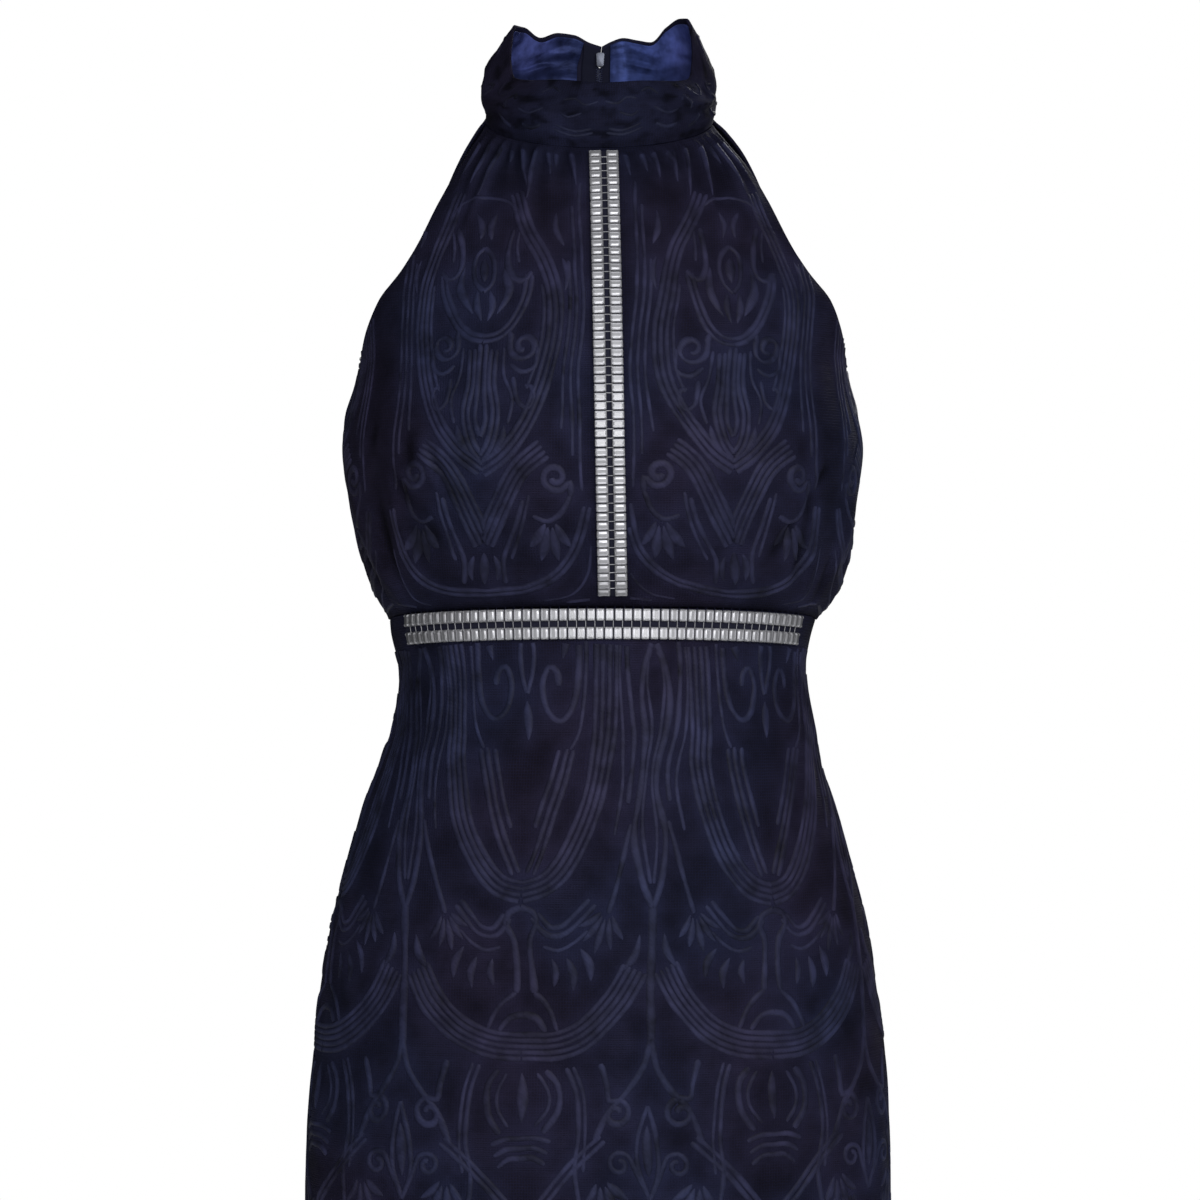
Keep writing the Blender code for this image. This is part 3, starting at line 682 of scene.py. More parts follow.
# ---------------------------------------------------------------------------------------------
# The bodice's back. Two halves of the same lace, cut plain with no gathers, which meet at the
# zip. They are sewn to the front at the side seams and to the collar at the nape.
# ---------------------------------------------------------------------------------------------
BODICE_BACK = rows_of(
    Section,
    (0.0, 1.80, 5.8, 0.807, 2.0), (2.4, 1.30, 6.3, 2.00, 2.0), (4.9, 0.80, 7.2, 3.30, 2.0),
    (7.8, 0.40, 8.4, 4.00, 2.0), (10.6, 0.10, 9.6, 3.90, 2.0), (13.2, 0.00, 10.25, 2.50, 2.1),
    (14.6, 0.00, 10.45, 1.00, 2.15), (15.3, 0.00, 10.52, 0.00, 2.2),
    (17.5, 0.00, 10.60, 0.00, 2.25), (20.0, 0.00, 10.45, 0.00, 2.3),
    (23.5, 0.00, 9.80, 0.00, 2.25), (26.0, 0.05, 9.0), (28.2, 0.20, 8.3), (29.5, 0.30, 7.8),
    (WAIST, 0.40, 7.3),
)
BACK_FOLDS = rows_of(
    Fold,
    (0.62, 25.6, 0.090, 3.2, 3.2, 0.012), (-0.66, 24.8, 0.090, 3.4, 3.5, -0.012),
    (0.90, 27.0, 0.060, 2.6, 3.0, -0.010), (-0.88, 26.4, 0.060, 2.8, 2.8, 0.010),
    (0.30, 28.0, 0.080, 1.6, 2.0, 0.014), (-0.32, 27.6, 0.080, 1.8, 2.2, -0.014),
    (0.50, 27.4, 0.026, 2.0, -1.8, 0.022), (-0.54, 26.6, 0.028, 2.4, -1.9, -0.020),
    (0.78, 25.0, 0.026, 2.6, 1.6, 0.018), (-0.80, 24.6, 0.024, 2.2, 1.5, -0.022),
    (0.17, 27.2, 0.024, 1.8, 1.2, 0.014), (-0.16, 26.8, 0.022, 2.0, 1.1, -0.012),
    (0.86, 17.4, 0.040, 1.3, 1.2, -0.060), (-0.88, 17.8, 0.040, 1.4, 1.2, 0.060),
)


def plain_panel(table, facing, folds):
    """A panel with no gathers: its folds, its top seam and, at the back, the seam at its middle."""

    def lift(across, drop):
        total = fold_height(folds, across, drop) + ripple(table, across, drop)
        total += seam_dip(drop - table[0].drop)
        if facing > 0:
            total += seam_dip(abs(across) * half_girth(table, drop))
        return total

    # The painted shade in its creases.
    def hollow(across, drop):
        return fold_painted_shade(folds, across, drop)

    return Panel(table, facing, lift, hollow)


HALVES = (("left", 1), ("right", -1))
bodice_back_panel = plain_panel(BODICE_BACK, 1, BACK_FOLDS)
bodice_back = []
for side, sign in HALVES:
    half = sew_panel(f"bodice_back_{side}_lace", bodice_back_panel, 64, 110, sign)
    bodice_back.append(half)

# ---------------------------------------------------------------------------------------------
# The skirt. A front and two back halves of the same lace and lining, shaped at the side seams
# to a fitted pencil line. The hem is turned up and blind stitched.
# ---------------------------------------------------------------------------------------------
SKIRT_FRONT = rows_of(
    Section,
    (WAIST, 0.75, 9.8), (31.6, 0.65, 9.7), (33.4, 0.50, 9.8), (36.8, 0.20, 10.3),
    (41.6, 0.00, 11.1), (47.0, 0.00, 11.5), (53.4, 0.00, 11.5), (62.0, 0.00, 11.3),
    (72.0, 0.00, 11.1), (HEM, 0.00, 10.8),
)
SKIRT_BACK = rows_of(
    Section,
    (WAIST, 0.40, 7.3), (31.6, 0.35, 7.1), (33.4, 0.30, 7.3), (36.8, 0.10, 8.3),
    (41.6, 0.00, 10.3), (47.0, 0.00, 12.2), (52.0, 0.00, 12.7), (58.0, 0.00, 12.4),
    (66.0, 0.00, 11.9), (HEM, 0.00, 11.2),
)
SKIRT_FRONT_FOLDS = rows_of(
    Fold,
    (0.86, 35.2, 0.030, 1.6, 1.7, 0.030), (-0.88, 36.4, 0.030, 1.8, 1.6, -0.030),
    (0.93, 38.6, 0.024, 1.5, -1.3, 0.024), (-0.90, 33.8, 0.024, 1.3, -1.3, -0.026),
    (-0.72, 35.4, 0.150, 3.2, -0.9, 0.0), (0.60, 33.0, 0.040, 1.4, 1.0, 0.016),
    (-0.56, 33.6, 0.040, 1.6, 1.0, -0.020), (-0.92, 54.0, 0.030, 3.0, 1.6, 0.006),
    (0.93, 57.0, 0.030, 3.2, 1.4, -0.006), (-0.84, 60.5, 0.040, 4.0, 1.6, 0.010),
    (0.82, 64.0, 0.045, 5.0, 1.6, -0.008), (-0.30, 70.0, 0.090, 7.0, 1.7, 0.006),
    (0.36, 74.0, 0.090, 7.0, 1.8, -0.004),
)
SKIRT_BACK_FOLDS = rows_of(
    Fold,
    (0.42, 34.0, 0.060, 1.3, 1.7, 0.050), (-0.40, 34.6, 0.060, 1.4, 1.8, -0.050),
    (0.56, 36.4, 0.045, 1.2, -1.2, 0.060), (-0.60, 37.0, 0.045, 1.2, -1.2, -0.060),
    (0.80, 38.4, 0.040, 1.8, 1.2, 0.030), (-0.84, 39.0, 0.040, 1.6, 1.2, -0.030),
    (0.50, 62.0, 0.100, 6.0, 1.7, 0.006), (-0.54, 66.0, 0.100, 7.0, 1.8, -0.006),
    (0.16, 72.0, 0.070, 7.0, 1.4, 0.002), (-0.20, 76.0, 0.070, 6.0, 1.4, 0.000),
)
skirt_front_panel = plain_panel(SKIRT_FRONT, -1, SKIRT_FRONT_FOLDS)
skirt_back_panel = plain_panel(SKIRT_BACK, 1, SKIRT_BACK_FOLDS)
skirt_front = sew_panel("skirt_front_lace", skirt_front_panel, 110, 150)
skirt_back = []
for side, sign in HALVES:
    half = sew_panel(f"skirt_back_{side}_lace", skirt_back_panel, 56, 140, sign)
    skirt_back.append(half)

# ---------------------------------------------------------------------------------------------
# The collar. A soft stand-up band of the same lace and lining, crumpled from wear, sewn to the
# gathered bodice and turned in at its rim. It is open at the nape for the zip, and its two ends
# are hooked together above the slider.
# ---------------------------------------------------------------------------------------------
# The collar from its seam to its rim: up is the share of its height there, half_width, front and
# back its reach from the middle, and lean its sideways shift.
Band = namedtuple("Band", "up half_width front back lean")
COLLAR = (
    Band(0.00, 7.00, 6.00, 5.80, 0.00),
    Band(0.25, 7.22, 6.25, 5.82, 0.00),
    Band(0.50, 7.25, 6.20, 5.80, 0.00),
    Band(0.75, 6.50, 5.90, 5.72, 0.08),
    Band(1.00, 5.58, 5.55, 5.60, 0.16),
)
# The rim's height at a turn about the neck, from -180 at the nape by the wearer's right side.
Rim = namedtuple("Rim", "turn height")
RIM = rows_of(
    Rim,
    (-180, 5.10), (-172, 5.35), (-162, 5.80), (-150, 5.90), (-136, 5.55), (-120, 6.05),
    (-106, 6.05), (-95, 4.95), (-84, 3.50), (-72, 2.55), (-50, 2.20), (-25, 2.05), (0, 1.85),
    (25, 2.00), (50, 2.15), (72, 2.50), (84, 3.50), (96, 5.30), (108, 6.45), (120, 6.55),
    (134, 6.10), (146, 5.30), (156, 5.45), (166, 5.62), (174, 5.40), (180, 5.10),
)
# The dents of the crumpled band: turn, share of its height, half sizes, depth in millimetres,
# and how much a dent turns for each share of the height.
Dent = namedtuple("Dent", "turn up turn_spread up_spread depth slant", defaults=(0.0,))
DENTS = rows_of(
    Dent,
    (-88, 0.16, 26, 0.12, 2.2), (-50, 0.30, 20, 0.10, 1.3), (-18, 0.55, 24, 0.11, 0.9),
    (14, 0.30, 22, 0.10, 1.0), (46, 0.52, 18, 0.11, 1.3), (84, 0.36, 24, 0.12, 1.7),
    (128, 0.55, 16, 0.16, 1.5), (-128, 0.45, 18, 0.14, 1.5), (-66, 0.70, 9, 0.06, 1.0, 20),
    (-34, 0.72, 14, 0.05, 0.8, -30), (-6, 0.22, 13, 0.05, 0.7, 20), (30, 0.74, 12, 0.05, 0.8, 30),
    (64, 0.26, 12, 0.05, 0.9, -20), (-96, 0.52, 7, 0.10, 1.2, 12), (-104, 0.30, 5, 0.16, 1.0, -8),
    (98, 0.60, 7, 0.10, 1.1, -12), (150, 0.30, 9, 0.08, 0.8, 14), (-154, 0.68, 9, 0.08, 0.8, -14),
)
COLLAR_SLIT = 1.7 * MM
HOOKED_SLIT = 0.03  # how wide the slit is where it is hooked, as a share of itself
SLIT_CLOSES = 0.84  # the share of its height above which the band's two ends are hooked together
SLIT_CLOSING = 0.04  # the share of its height that they take to come together
CRUMPLE_HEIGHT = 0.65 * MM
CRUMPLES_ROUND = 2.2
CRUMPLES_UP = 5.5


def slit_closing(up):
    """How far the two ends have come together: 0 beside the slider and 1 at the rim."""
    return smooth_step((up - SLIT_CLOSES) / SLIT_CLOSING)


@lru_cache(maxsize=None)
def collar_point(turn, up):
    """The point of the collar's outside at a turn about the neck and a share of its height."""
    band = smooth_row(COLLAR, up)
    slit = COLLAR_SLIT * (1 - (1 - HOOKED_SLIT) * slit_closing(up))
    slit_turn = 180 - math.degrees(math.asin(slit / 2 / CM / band.half_width))
    angle = math.radians(min(max(turn, -slit_turn), slit_turn))
    front = math.cos(angle) > 0
    reach = band.front if front else band.back
    seam = BODICE_FRONT[0].rise if front else -BODICE_BACK[0].rise
    bottom = seam * math.cos(angle)
    height = bottom + (smooth_row(RIM, turn).height - bottom) * up
    x = band.half_width * math.sin(angle) + band.lean
    return Vector((x, -reach * math.cos(angle), height)) * CM


def dent_sum(dents, turn, up):
    """The depth in metres that a table of dents adds up to at a place of the band."""
    total = 0.0
    for dent in dents:
        around = (turn - dent.turn - dent.slant * (up - dent.up)) / dent.turn_spread
        along = (up - dent.up) / dent.up_spread
        total += dent.depth * MM * math.exp(-(around**2) - along**2)
    return total


def dent_depth(turn, up):
    """How far the collar's cloth is pushed in here, by its dents, its crumples and its seam."""
    angle = math.radians(turn)
    around = math.sin(angle) * CRUMPLES_ROUND, math.cos(angle) * CRUMPLES_ROUND
    place = Vector((*around, up * CRUMPLES_UP))
    crumple = (1 + noise.noise(place) + 0.5 * noise.noise(place * 2.3)) * CRUMPLE_HEIGHT
    return dent_sum(DENTS, turn, up) + crumple * min(up * 8, 1) - seam_dip(up * 4)


SMALL_TURN = 1.0  # the steps that a direction on the band is measured over
SMALL_UP = 0.02


def collar_sides(turn, up):
    """The directions of the band round the neck and towards its rim."""
    around = collar_point(turn + SMALL_TURN, up) - collar_point(turn - SMALL_TURN, up)
    above = collar_point(turn, min(up + SMALL_UP, 1))
    below = collar_point(turn, max(up - SMALL_UP, 0))
    return around, above - below


@lru_cache(maxsize=None)
def collar_frame(turn, up):
    """A point of the band without its dents, its direction out and its dents' depth."""
    around, rise = collar_sides(turn, up)
    return collar_point(turn, up), around.cross(rise).normalized(), dent_depth(turn, up)


def on_collar(turn, up, height=0.0):
    """A point a height off the outside of the collar's cloth."""
    point, normal, dent = collar_frame(round(turn, 3), round(up, 4))
    return point + normal * (height - dent)


COLLAR_TURN = 179.1  # how far round the neck the band reaches beside the slider
COLLAR_CLOSING = 0.88  # how much further it does where it is hooked
# The collar's painted shade: full at a dent this deep, none in the shallowest share of that, more in
# random patches as of crumples, and never darker than the darkest.
COLLAR_DEEP = 2.2 * MM
COLLAR_SHALLOW = 0.45  # the share of that depth that is still fully lit
SPOT_TURN, SPOTS_UP = 9.0, 6.5  # the size and the number of the patches of painted shade on the band
FINE_SPOT_TURN, FINE_SPOTS_UP = 4.0, 13
FINE_SPOTS = 0.6
SPOT_DARK, SPOT_LIT = 1.6, 0.1
DARKEST = 0.9
COLLAR_HEM = 0.012  # the share of its height that it reaches below the seam's line
COLLAR_GIRTH = 0.415
COLLAR_HEIGHT = 0.062


def flat_band(u, v):
    return (u - 0.5) * COLLAR_GIRTH, v * COLLAR_HEIGHT


def make_collar(columns, rows):
    def place(u, v, height):
        widest_turn = COLLAR_TURN + COLLAR_CLOSING * slit_closing(v)
        return on_collar(widest_turn * (2 * u - 1), v if v > 0.001 else -COLLAR_HEM, height)

    def hollow(u, v):
        # Painted shade in the band's dents and crumples, and in random patches.
        turn = COLLAR_TURN * (2 * u - 1)
        spot = noise.noise(Vector((turn / SPOT_TURN, v * SPOTS_UP, 0.0)))
        fine_place = Vector((turn / FINE_SPOT_TURN, v * FINE_SPOTS_UP, 3.0))
        spot += FINE_SPOTS * noise.noise(fine_place)
        crumpled = dent_depth(turn, v) / COLLAR_DEEP - COLLAR_SHALLOW
        return min(max(crumpled, 0.0) + max(SPOT_DARK * spot - SPOT_LIT, 0.0), DARKEST)

    band = cloth_wall("collar_lace", columns, rows, place, flat_band, CLOTH, lace, lining, hollow)
    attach(band, "dress")
    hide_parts("collar")
    return band


collar = make_collar(190, 26)

# ---------------------------------------------------------------------------------------------
# The collar's facing. Glossy navy satin on a fusible, hand sewn inside the band from one zip
# tape round the neck to the other, whose edge it laps over. It stops short of the rim and
# wrinkles as the band crumples.
# ---------------------------------------------------------------------------------------------
SATIN = 1.0 * MM
LAYER_GAP = 0.5 * MM
FACING_TURN = 168.8
FACING_LAP_TURN = 5.6  # how much further it goes at the wearer's left, over the tape's edge
FACING_LAP = 1.0 * MM  # how far it stands off the tape there
FACING_LAP_START = 2.0
FACING_LAP_RISE = 1.6
FACING_BOTTOM = 1 / 7
FACING_TOP = 0.955
FACING_RIM_FADE = 20  # how steeply its wrinkles die away at its two edges
# The wrinkles of the satin, which stand in from the band as soft ridges.
WRINKLES = rows_of(
    Dent,
    (-124, 0.62, 7, 0.10, 2.2, -60), (-136, 0.78, 8, 0.07, 1.5, -90),
    (-148, 0.50, 10, 0.07, 1.8, -80), (-158, 0.74, 8, 0.06, 1.3, -60),
    (-114, 0.86, 6, 0.07, 1.6, -40), (122, 0.66, 7, 0.09, 2.0, 60), (134, 0.52, 9, 0.07, 1.7, 80),
    (144, 0.78, 8, 0.06, 1.3, 70), (157, 0.56, 8, 0.07, 1.5, 60), (110, 0.80, 6, 0.08, 1.3, 40),
    (-80, 0.50, 12, 0.10, 1.2, 20), (-40, 0.60, 16, 0.10, 1.0, 30), (0, 0.48, 16, 0.10, 0.9, 10),
    (44, 0.62, 16, 0.10, 1.0, -30), (82, 0.46, 12, 0.10, 1.2, -20),
)


def wrinkle_height(turn, up):
    to_edge = min(FACING_TOP - up, up - FACING_BOTTOM)
    return dent_sum(WRINKLES, turn, up) * min(to_edge * FACING_RIM_FADE, 1)


SATIN_COLOUR = (0.032, 0.046, 0.150)
SATIN_SHINE = (0.35, 0.45, 1.0)


def make_satin():
    """Navy satin: a smooth close weave that shines across its floats."""
    made = new_material(
        "navy satin", SATIN_COLOUR, 0.42, Metallic=0.3, Specular_IOR_Level=0.25,
        Specular_Tint=opaque(SATIN_SHINE),
    )
    tree = made.node_tree
    # Random tone in small patches, and the facing's painted light and shade from its attribute.
    add_tone_and_painted_shade(tree, Colour=opaque(SATIN_COLOUR), Patch_Size=14 * MM, Amount=0.8)
    cut = add_node(tree, "ShaderNodeUVMap", uv_map="UVMap")
    weave = add_node(tree, "ShaderNodeTexNoise", noise_dimensions="2D")
    set_inputs(weave, Scale=90.0, Detail=2.0)
    join(tree, (cut, "UV", weave, "Vector"))
    add_bump(tree, 0.35, 1.2 * MM, weave, "Fac")
    return made


# The light and shade painted on the facing: its left end is painted lighter from a share of its
# length on, its ends with the tapes' shade and its foot with the band's, and its back corners with
# painted highlights.
LIT_FROM, LIT_RISE, LIT_GAIN = 0.75, 0.12, 0.2
TAPE_SHADE, TAPE_SHADE_TURN = 0.8, 20
LIT_TAPE_SHADE, LIT_TAPE_SHADE_TURN = 0.45, 11
FOOT_SHADE, LIT_FOOT_SHADE = 0.7, 0.35
FOOT_HEIGHT, FOOT_FADE = 0.25, 0.5
CORNER_TURN, CORNER_SLANT, CORNER_SPREAD = 52, 16, 13
CORNER_FOOT, CORNER_RISE, CORNER_GAIN = 0.3, 0.5, 1.6


def make_collar_facing(columns, rows):
    def place(u, v, height):
        turn = (2 * FACING_TURN + FACING_LAP_TURN) * u - FACING_TURN
        up = FACING_BOTTOM + (FACING_TOP - FACING_BOTTOM) * v
        lap = smooth_step((turn - FACING_TURN + FACING_LAP_START) / FACING_LAP_RISE)
        inwards = max(wrinkle_height(turn, up), 0) + FACING_LAP * lap
        return on_collar(turn, up, height - CLOTH - LAYER_GAP - inwards)

    def hollow(u, v):
        """The painted shade here, and below 0 the painted light."""
        from_tape = FACING_TURN * (1 - abs(2 * u - 1))
        lit = smooth_step((u - LIT_FROM) / LIT_RISE)
        by_tape = TAPE_SHADE * (1 - lit) * math.exp(-((from_tape / TAPE_SHADE_TURN) ** 2))
        by_tape += LIT_TAPE_SHADE * lit * math.exp(-((from_tape / LIT_TAPE_SHADE_TURN) ** 2))
        low = FOOT_SHADE - LIT_FOOT_SHADE * lit
        low *= 1 - smooth_step((v - FOOT_HEIGHT) / FOOT_FADE)
        aside = (from_tape - CORNER_TURN + CORNER_SLANT * v) / CORNER_SPREAD
        corner = math.exp(-(aside**2)) * smooth_step((v - CORNER_FOOT) / CORNER_RISE)
        return min(by_tape + low, DARKEST) - CORNER_GAIN * corner - LIT_GAIN * lit

    facing = cloth_wall(
        "collar_facing_satin", columns, rows, place, flat_band, SATIN, satin, hollow=hollow
    )
    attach(facing, "dress")
    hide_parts("collar_facing")
    return facing


satin = make_satin()
collar_facing = make_collar_facing(170, 30)

# ---------------------------------------------------------------------------------------------
# The scrollwork. Soft navy braid couched on the lace in a traditional pattern of lyres, arches and
# swags with filled leaves, mirrored about the middle of the bodice and repeated every 15 cm round
# the skirt.
# ---------------------------------------------------------------------------------------------
BRAID_STEP = 0.30  # centimetres between the sections of a braid
BRAID_EDGE_SUNK = 0.20 * MM
BRAID_CROWN = 0.75  # the highest that a braid stands, in millimetres
BRAID_ROUNDNESS = 0.28  # its height as a share of its width, where that is less
BRAID_REACH = 1.5  # how far its sunk flanks reach, which carry a painted shadow, as a share of its half width
BRAID_CORE = 0.42  # the share of that reach that is its crown, clear of the painted shadow
BRAID_UNEVEN = 0.35
BRAID_UNEVEN_SIZE = 1.6
BRAID_ROUNDED_END = 0.6  # how wide a cut end is, as a share of its braid
BRAID_MARGIN = 0.25
BRAID_END = 1000.0  # a drop that no ground holds, which ends every run
STRETCH = 0.28
STRETCH_SIZE = 4.5
STRETCH_LAYERS = (3.1, 7.7)  # where in the noise its two directions are read
WORKED_REACH = 0.45  # how far the close stitches round a braid reach
WORKED_CLOSE = 0.24  # how much one place of a braid adds to them
ON_MIRROR = 0.05  # how near a mirror line a place is taken to be on it
COLLAR_FLAT_HEIGHT = 4.4
# A line of the pattern: how many braids run side by side, how far apart in centimetres, how wide
# each is in millimetres, the places that it passes, each as (aside, down) in centimetres from the
# pattern's mirror line, and whether its ends are pointed like a leaf's.
Line = namedtuple("Line", "braids apart width places pointed", defaults=(False,))


def smooth_line(places):
    """Points about a step apart on a smooth curve through all the places."""
    ends = [places[0], *places, places[-1]]
    points = []
    for before, start, end, after in zip(ends, ends[1:], ends[2:], ends[3:]):
        length = math.dist(start, end)
        steps = max(2, math.ceil(length / BRAID_STEP))
        for step in range(steps):
            share = step / steps
            points.append(
                tuple(
                    0.5
                    * (
                        2 * b
                        + (c - a) * share
                        + (2 * a - 5 * b + 4 * c - d) * share**2
                        + (3 * b - a - 3 * c + d) * share**3
                    )
                    for a, b, c, d in zip(before, start, end, after)
                )
            )
    return points + [tuple(map(float, places[-1]))]


def beside(points, distance):
    """The line that runs a distance to the side of another."""
    moved = []
    for index, (aside, down) in enumerate(points):
        near = points[max(index - 1, 0)]
        far = points[min(index + 1, len(points) - 1)]
        run = math.dist(near, far) or 1.0
        across, along = (far[0] - near[0]) / run, (far[1] - near[1]) / run
        moved.append((aside - along * distance, down + across * distance))
    return moved


def curl(middle, radius, start, turns, end_share=0.25):
    """The places of a spiral about its middle from an angle in degrees, clockwise below 0 turns."""
    steps = max(4, round(abs(turns) * 8))
    places = []
    for step in range(steps + 1):
        share = step / steps
        angle = math.radians(start + 360 * turns * share)
        reach = radius * (1 - (1 - end_share) * share)
        places.append((middle[0] + reach * math.cos(angle), middle[1] + reach * math.sin(angle)))
    return tuple(places)


def cord(width, *places):
    """One braid through all the places."""
    return Line(1, 0, width, places)


def leaf(root, tip, width, bow=0.12):
    """A filled leaf from its root to its tip, bowed to one side by a share of its length."""
    across, along = tip[0] - root[0], tip[1] - root[1]
    middle = ((root[0] + tip[0]) / 2 - along * bow, (root[1] + tip[1]) / 2 + across * bow)
    return Line(1, 0, width, (root, middle, tip), True)


def spray(root, angle, fan, count, length, width):
    """Leaves that fan out from one root, about an angle in degrees from straight down."""
    leaves = []
    for number in range(count):
        share = number / (count - 1) - 0.5
        turn = math.radians(angle + fan * share)
        reach = length * (1 - 0.5 * abs(share))
        near = (root[0] + 0.25 * reach * math.sin(turn), root[1] + 0.25 * reach * math.cos(turn))
        far = (root[0] + reach * math.sin(turn), root[1] + reach * math.cos(turn))
        leaves.append(leaf(near, far, width, 0.15 * share))
    return leaves


REPEAT_HALF = 7.5
BOLD, MAIN, FINE, FAINT = 3.1, 2.5, 1.9, 1.4
BODICE_LINES = (
    # The stems beside the mirror line, with small leaves between them.
    cord(FINE, (1.55, 3.4), (1.60, 8.0), (1.50, 13.0), (1.60, 18.2), (1.50, 22.6)),
    cord(FINE, (1.98, 5.2), (2.02, 9.0), (1.92, 13.0), (2.05, 17.4), (2.00, 20.6)),
    cord(FINE, (2.40, 9.0), (2.32, 13.0), (2.50, 16.6), (2.70, 19.2)),
    leaf((2.75, 8.8), (2.65, 11.0), 3.0),
    leaf((2.9, 5.6), (2.60, 7.9), 3.4, -0.10),
    # The long S from the gathers round the lyre, and a shorter one inside it.
    Line(3, 0.36, MAIN, (
        (5.6, 4.2), (4.9, 6.3), (4.0, 8.4), (3.35, 10.8), (3.15, 13.4), (3.6, 16.2), (4.7, 18.6),
        (6.1, 20.4), (7.5, 21.4),
    )),
    cord(FINE, (4.05, 10.6), (3.85, 12.8), (4.1, 15.2), (4.7, 16.9)),
    # The lyre, its hooked arms, the drop and the buds in it, and the arch over it.
    Line(2, 0.34, MAIN, (
        (4.75, 9.9), (4.95, 11.1), (5.4, 12.3), (5.95, 13.15), (6.7, 13.7), (7.5, 13.85),
    )),
    cord(BOLD, (4.6, 9.7), (5.0, 10.2), (5.6, 10.1), (5.95, 9.3), (5.9, 8.0), (5.6, 6.7)),
    cord(FINE, (5.3, 9.0), (5.35, 7.9), (5.2, 6.9)),
    cord(MAIN, (7.5, 8.0), (7.0, 8.5), (6.8, 9.5), (7.0, 10.5), (7.5, 11.0)),
    leaf((7.5, 8.8), (7.5, 10.4), 5.0, 0.0),
    leaf((6.2, 9.4), (6.75, 12.4), 4.6, 0.16),
    leaf((7.1, 11.0), (7.3, 12.8), 3.6, 0.1),
    cord(FINE, (5.1, 6.0), (5.5, 5.3), (6.4, 4.7), (7.5, 4.5)),
    leaf((6.8, 5.6), (7.1, 7.4), 3.6, -0.14),
    # The volutes at its foot, and the stems that hang from it.
    cord(BOLD, (5.9, 13.4), (5.8, 13.8), *curl((4.95, 14.3), 0.95, -20, 1.35)),
    cord(MAIN, (4.1, 14.4), (4.2, 15.6), (5.0, 15.9), (5.7, 15.4)),
    Line(2, 0.34, MAIN, ((6.8, 14.5), (6.85, 16.4), (6.6, 18.2), (6.95, 19.9), (7.5, 20.7))),
    cord(MAIN, (7.3, 14.2), (7.28, 17.0), (7.2, 18.6), (7.5, 19.5)),
    cord(FINE, (6.2, 14.4), (6.1, 16.0), (5.6, 17.4), (5.9, 18.8)),
    cord(
        MAIN, (5.5, 16.2), (5.3, 17.5), (4.7, 18.0), (4.3, 17.5), (4.4, 16.8), (4.8, 16.7),
    ),
    leaf((6.1, 18.9), (6.9, 20.6), 4.0),
    # The fan, the scroll and the drops over the waist.
    Line(4, 0.36, MAIN, ((3.7, 20.2), (5.2, 21.4), (6.3, 23.2), (7.5, 25.8))),
    cord(MAIN, (5.0, 23.2), (5.6, 25.0), (6.3, 26.8), (6.2, 28.4)),
    cord(FINE, (4.6, 22.9), (5.1, 24.8), (5.8, 26.8)),
    cord(BOLD, (2.15, 22.9), *curl((3.0, 21.8), 0.90, 160, -1.4)),
    cord(MAIN, (2.15, 22.9), (2.7, 24.0), (3.5, 24.5), (4.4, 24.2)),
    *spray((3.3, 24.2), 0, 70, 4, 3.0, 4.6),
    leaf((7.5, 26.4), (7.5, 28.4), 5.0, 0.0),
    leaf((6.9, 26.6), (6.75, 28.2), 3.6),
    Line(2, 0.34, MAIN, ((1.2, 23.6), (1.8, 26.2), (3.2, 28.0), (5.2, 28.9), (7.5, 29.1))),
    cord(FAINT, (0.9, 26.0), (1.2, 27.8), (2.2, 29.3), (3.8, 29.8)),
    cord(FINE, (0.3, 29.5), (1.4, 29.7), (2.4, 29.9)),
)
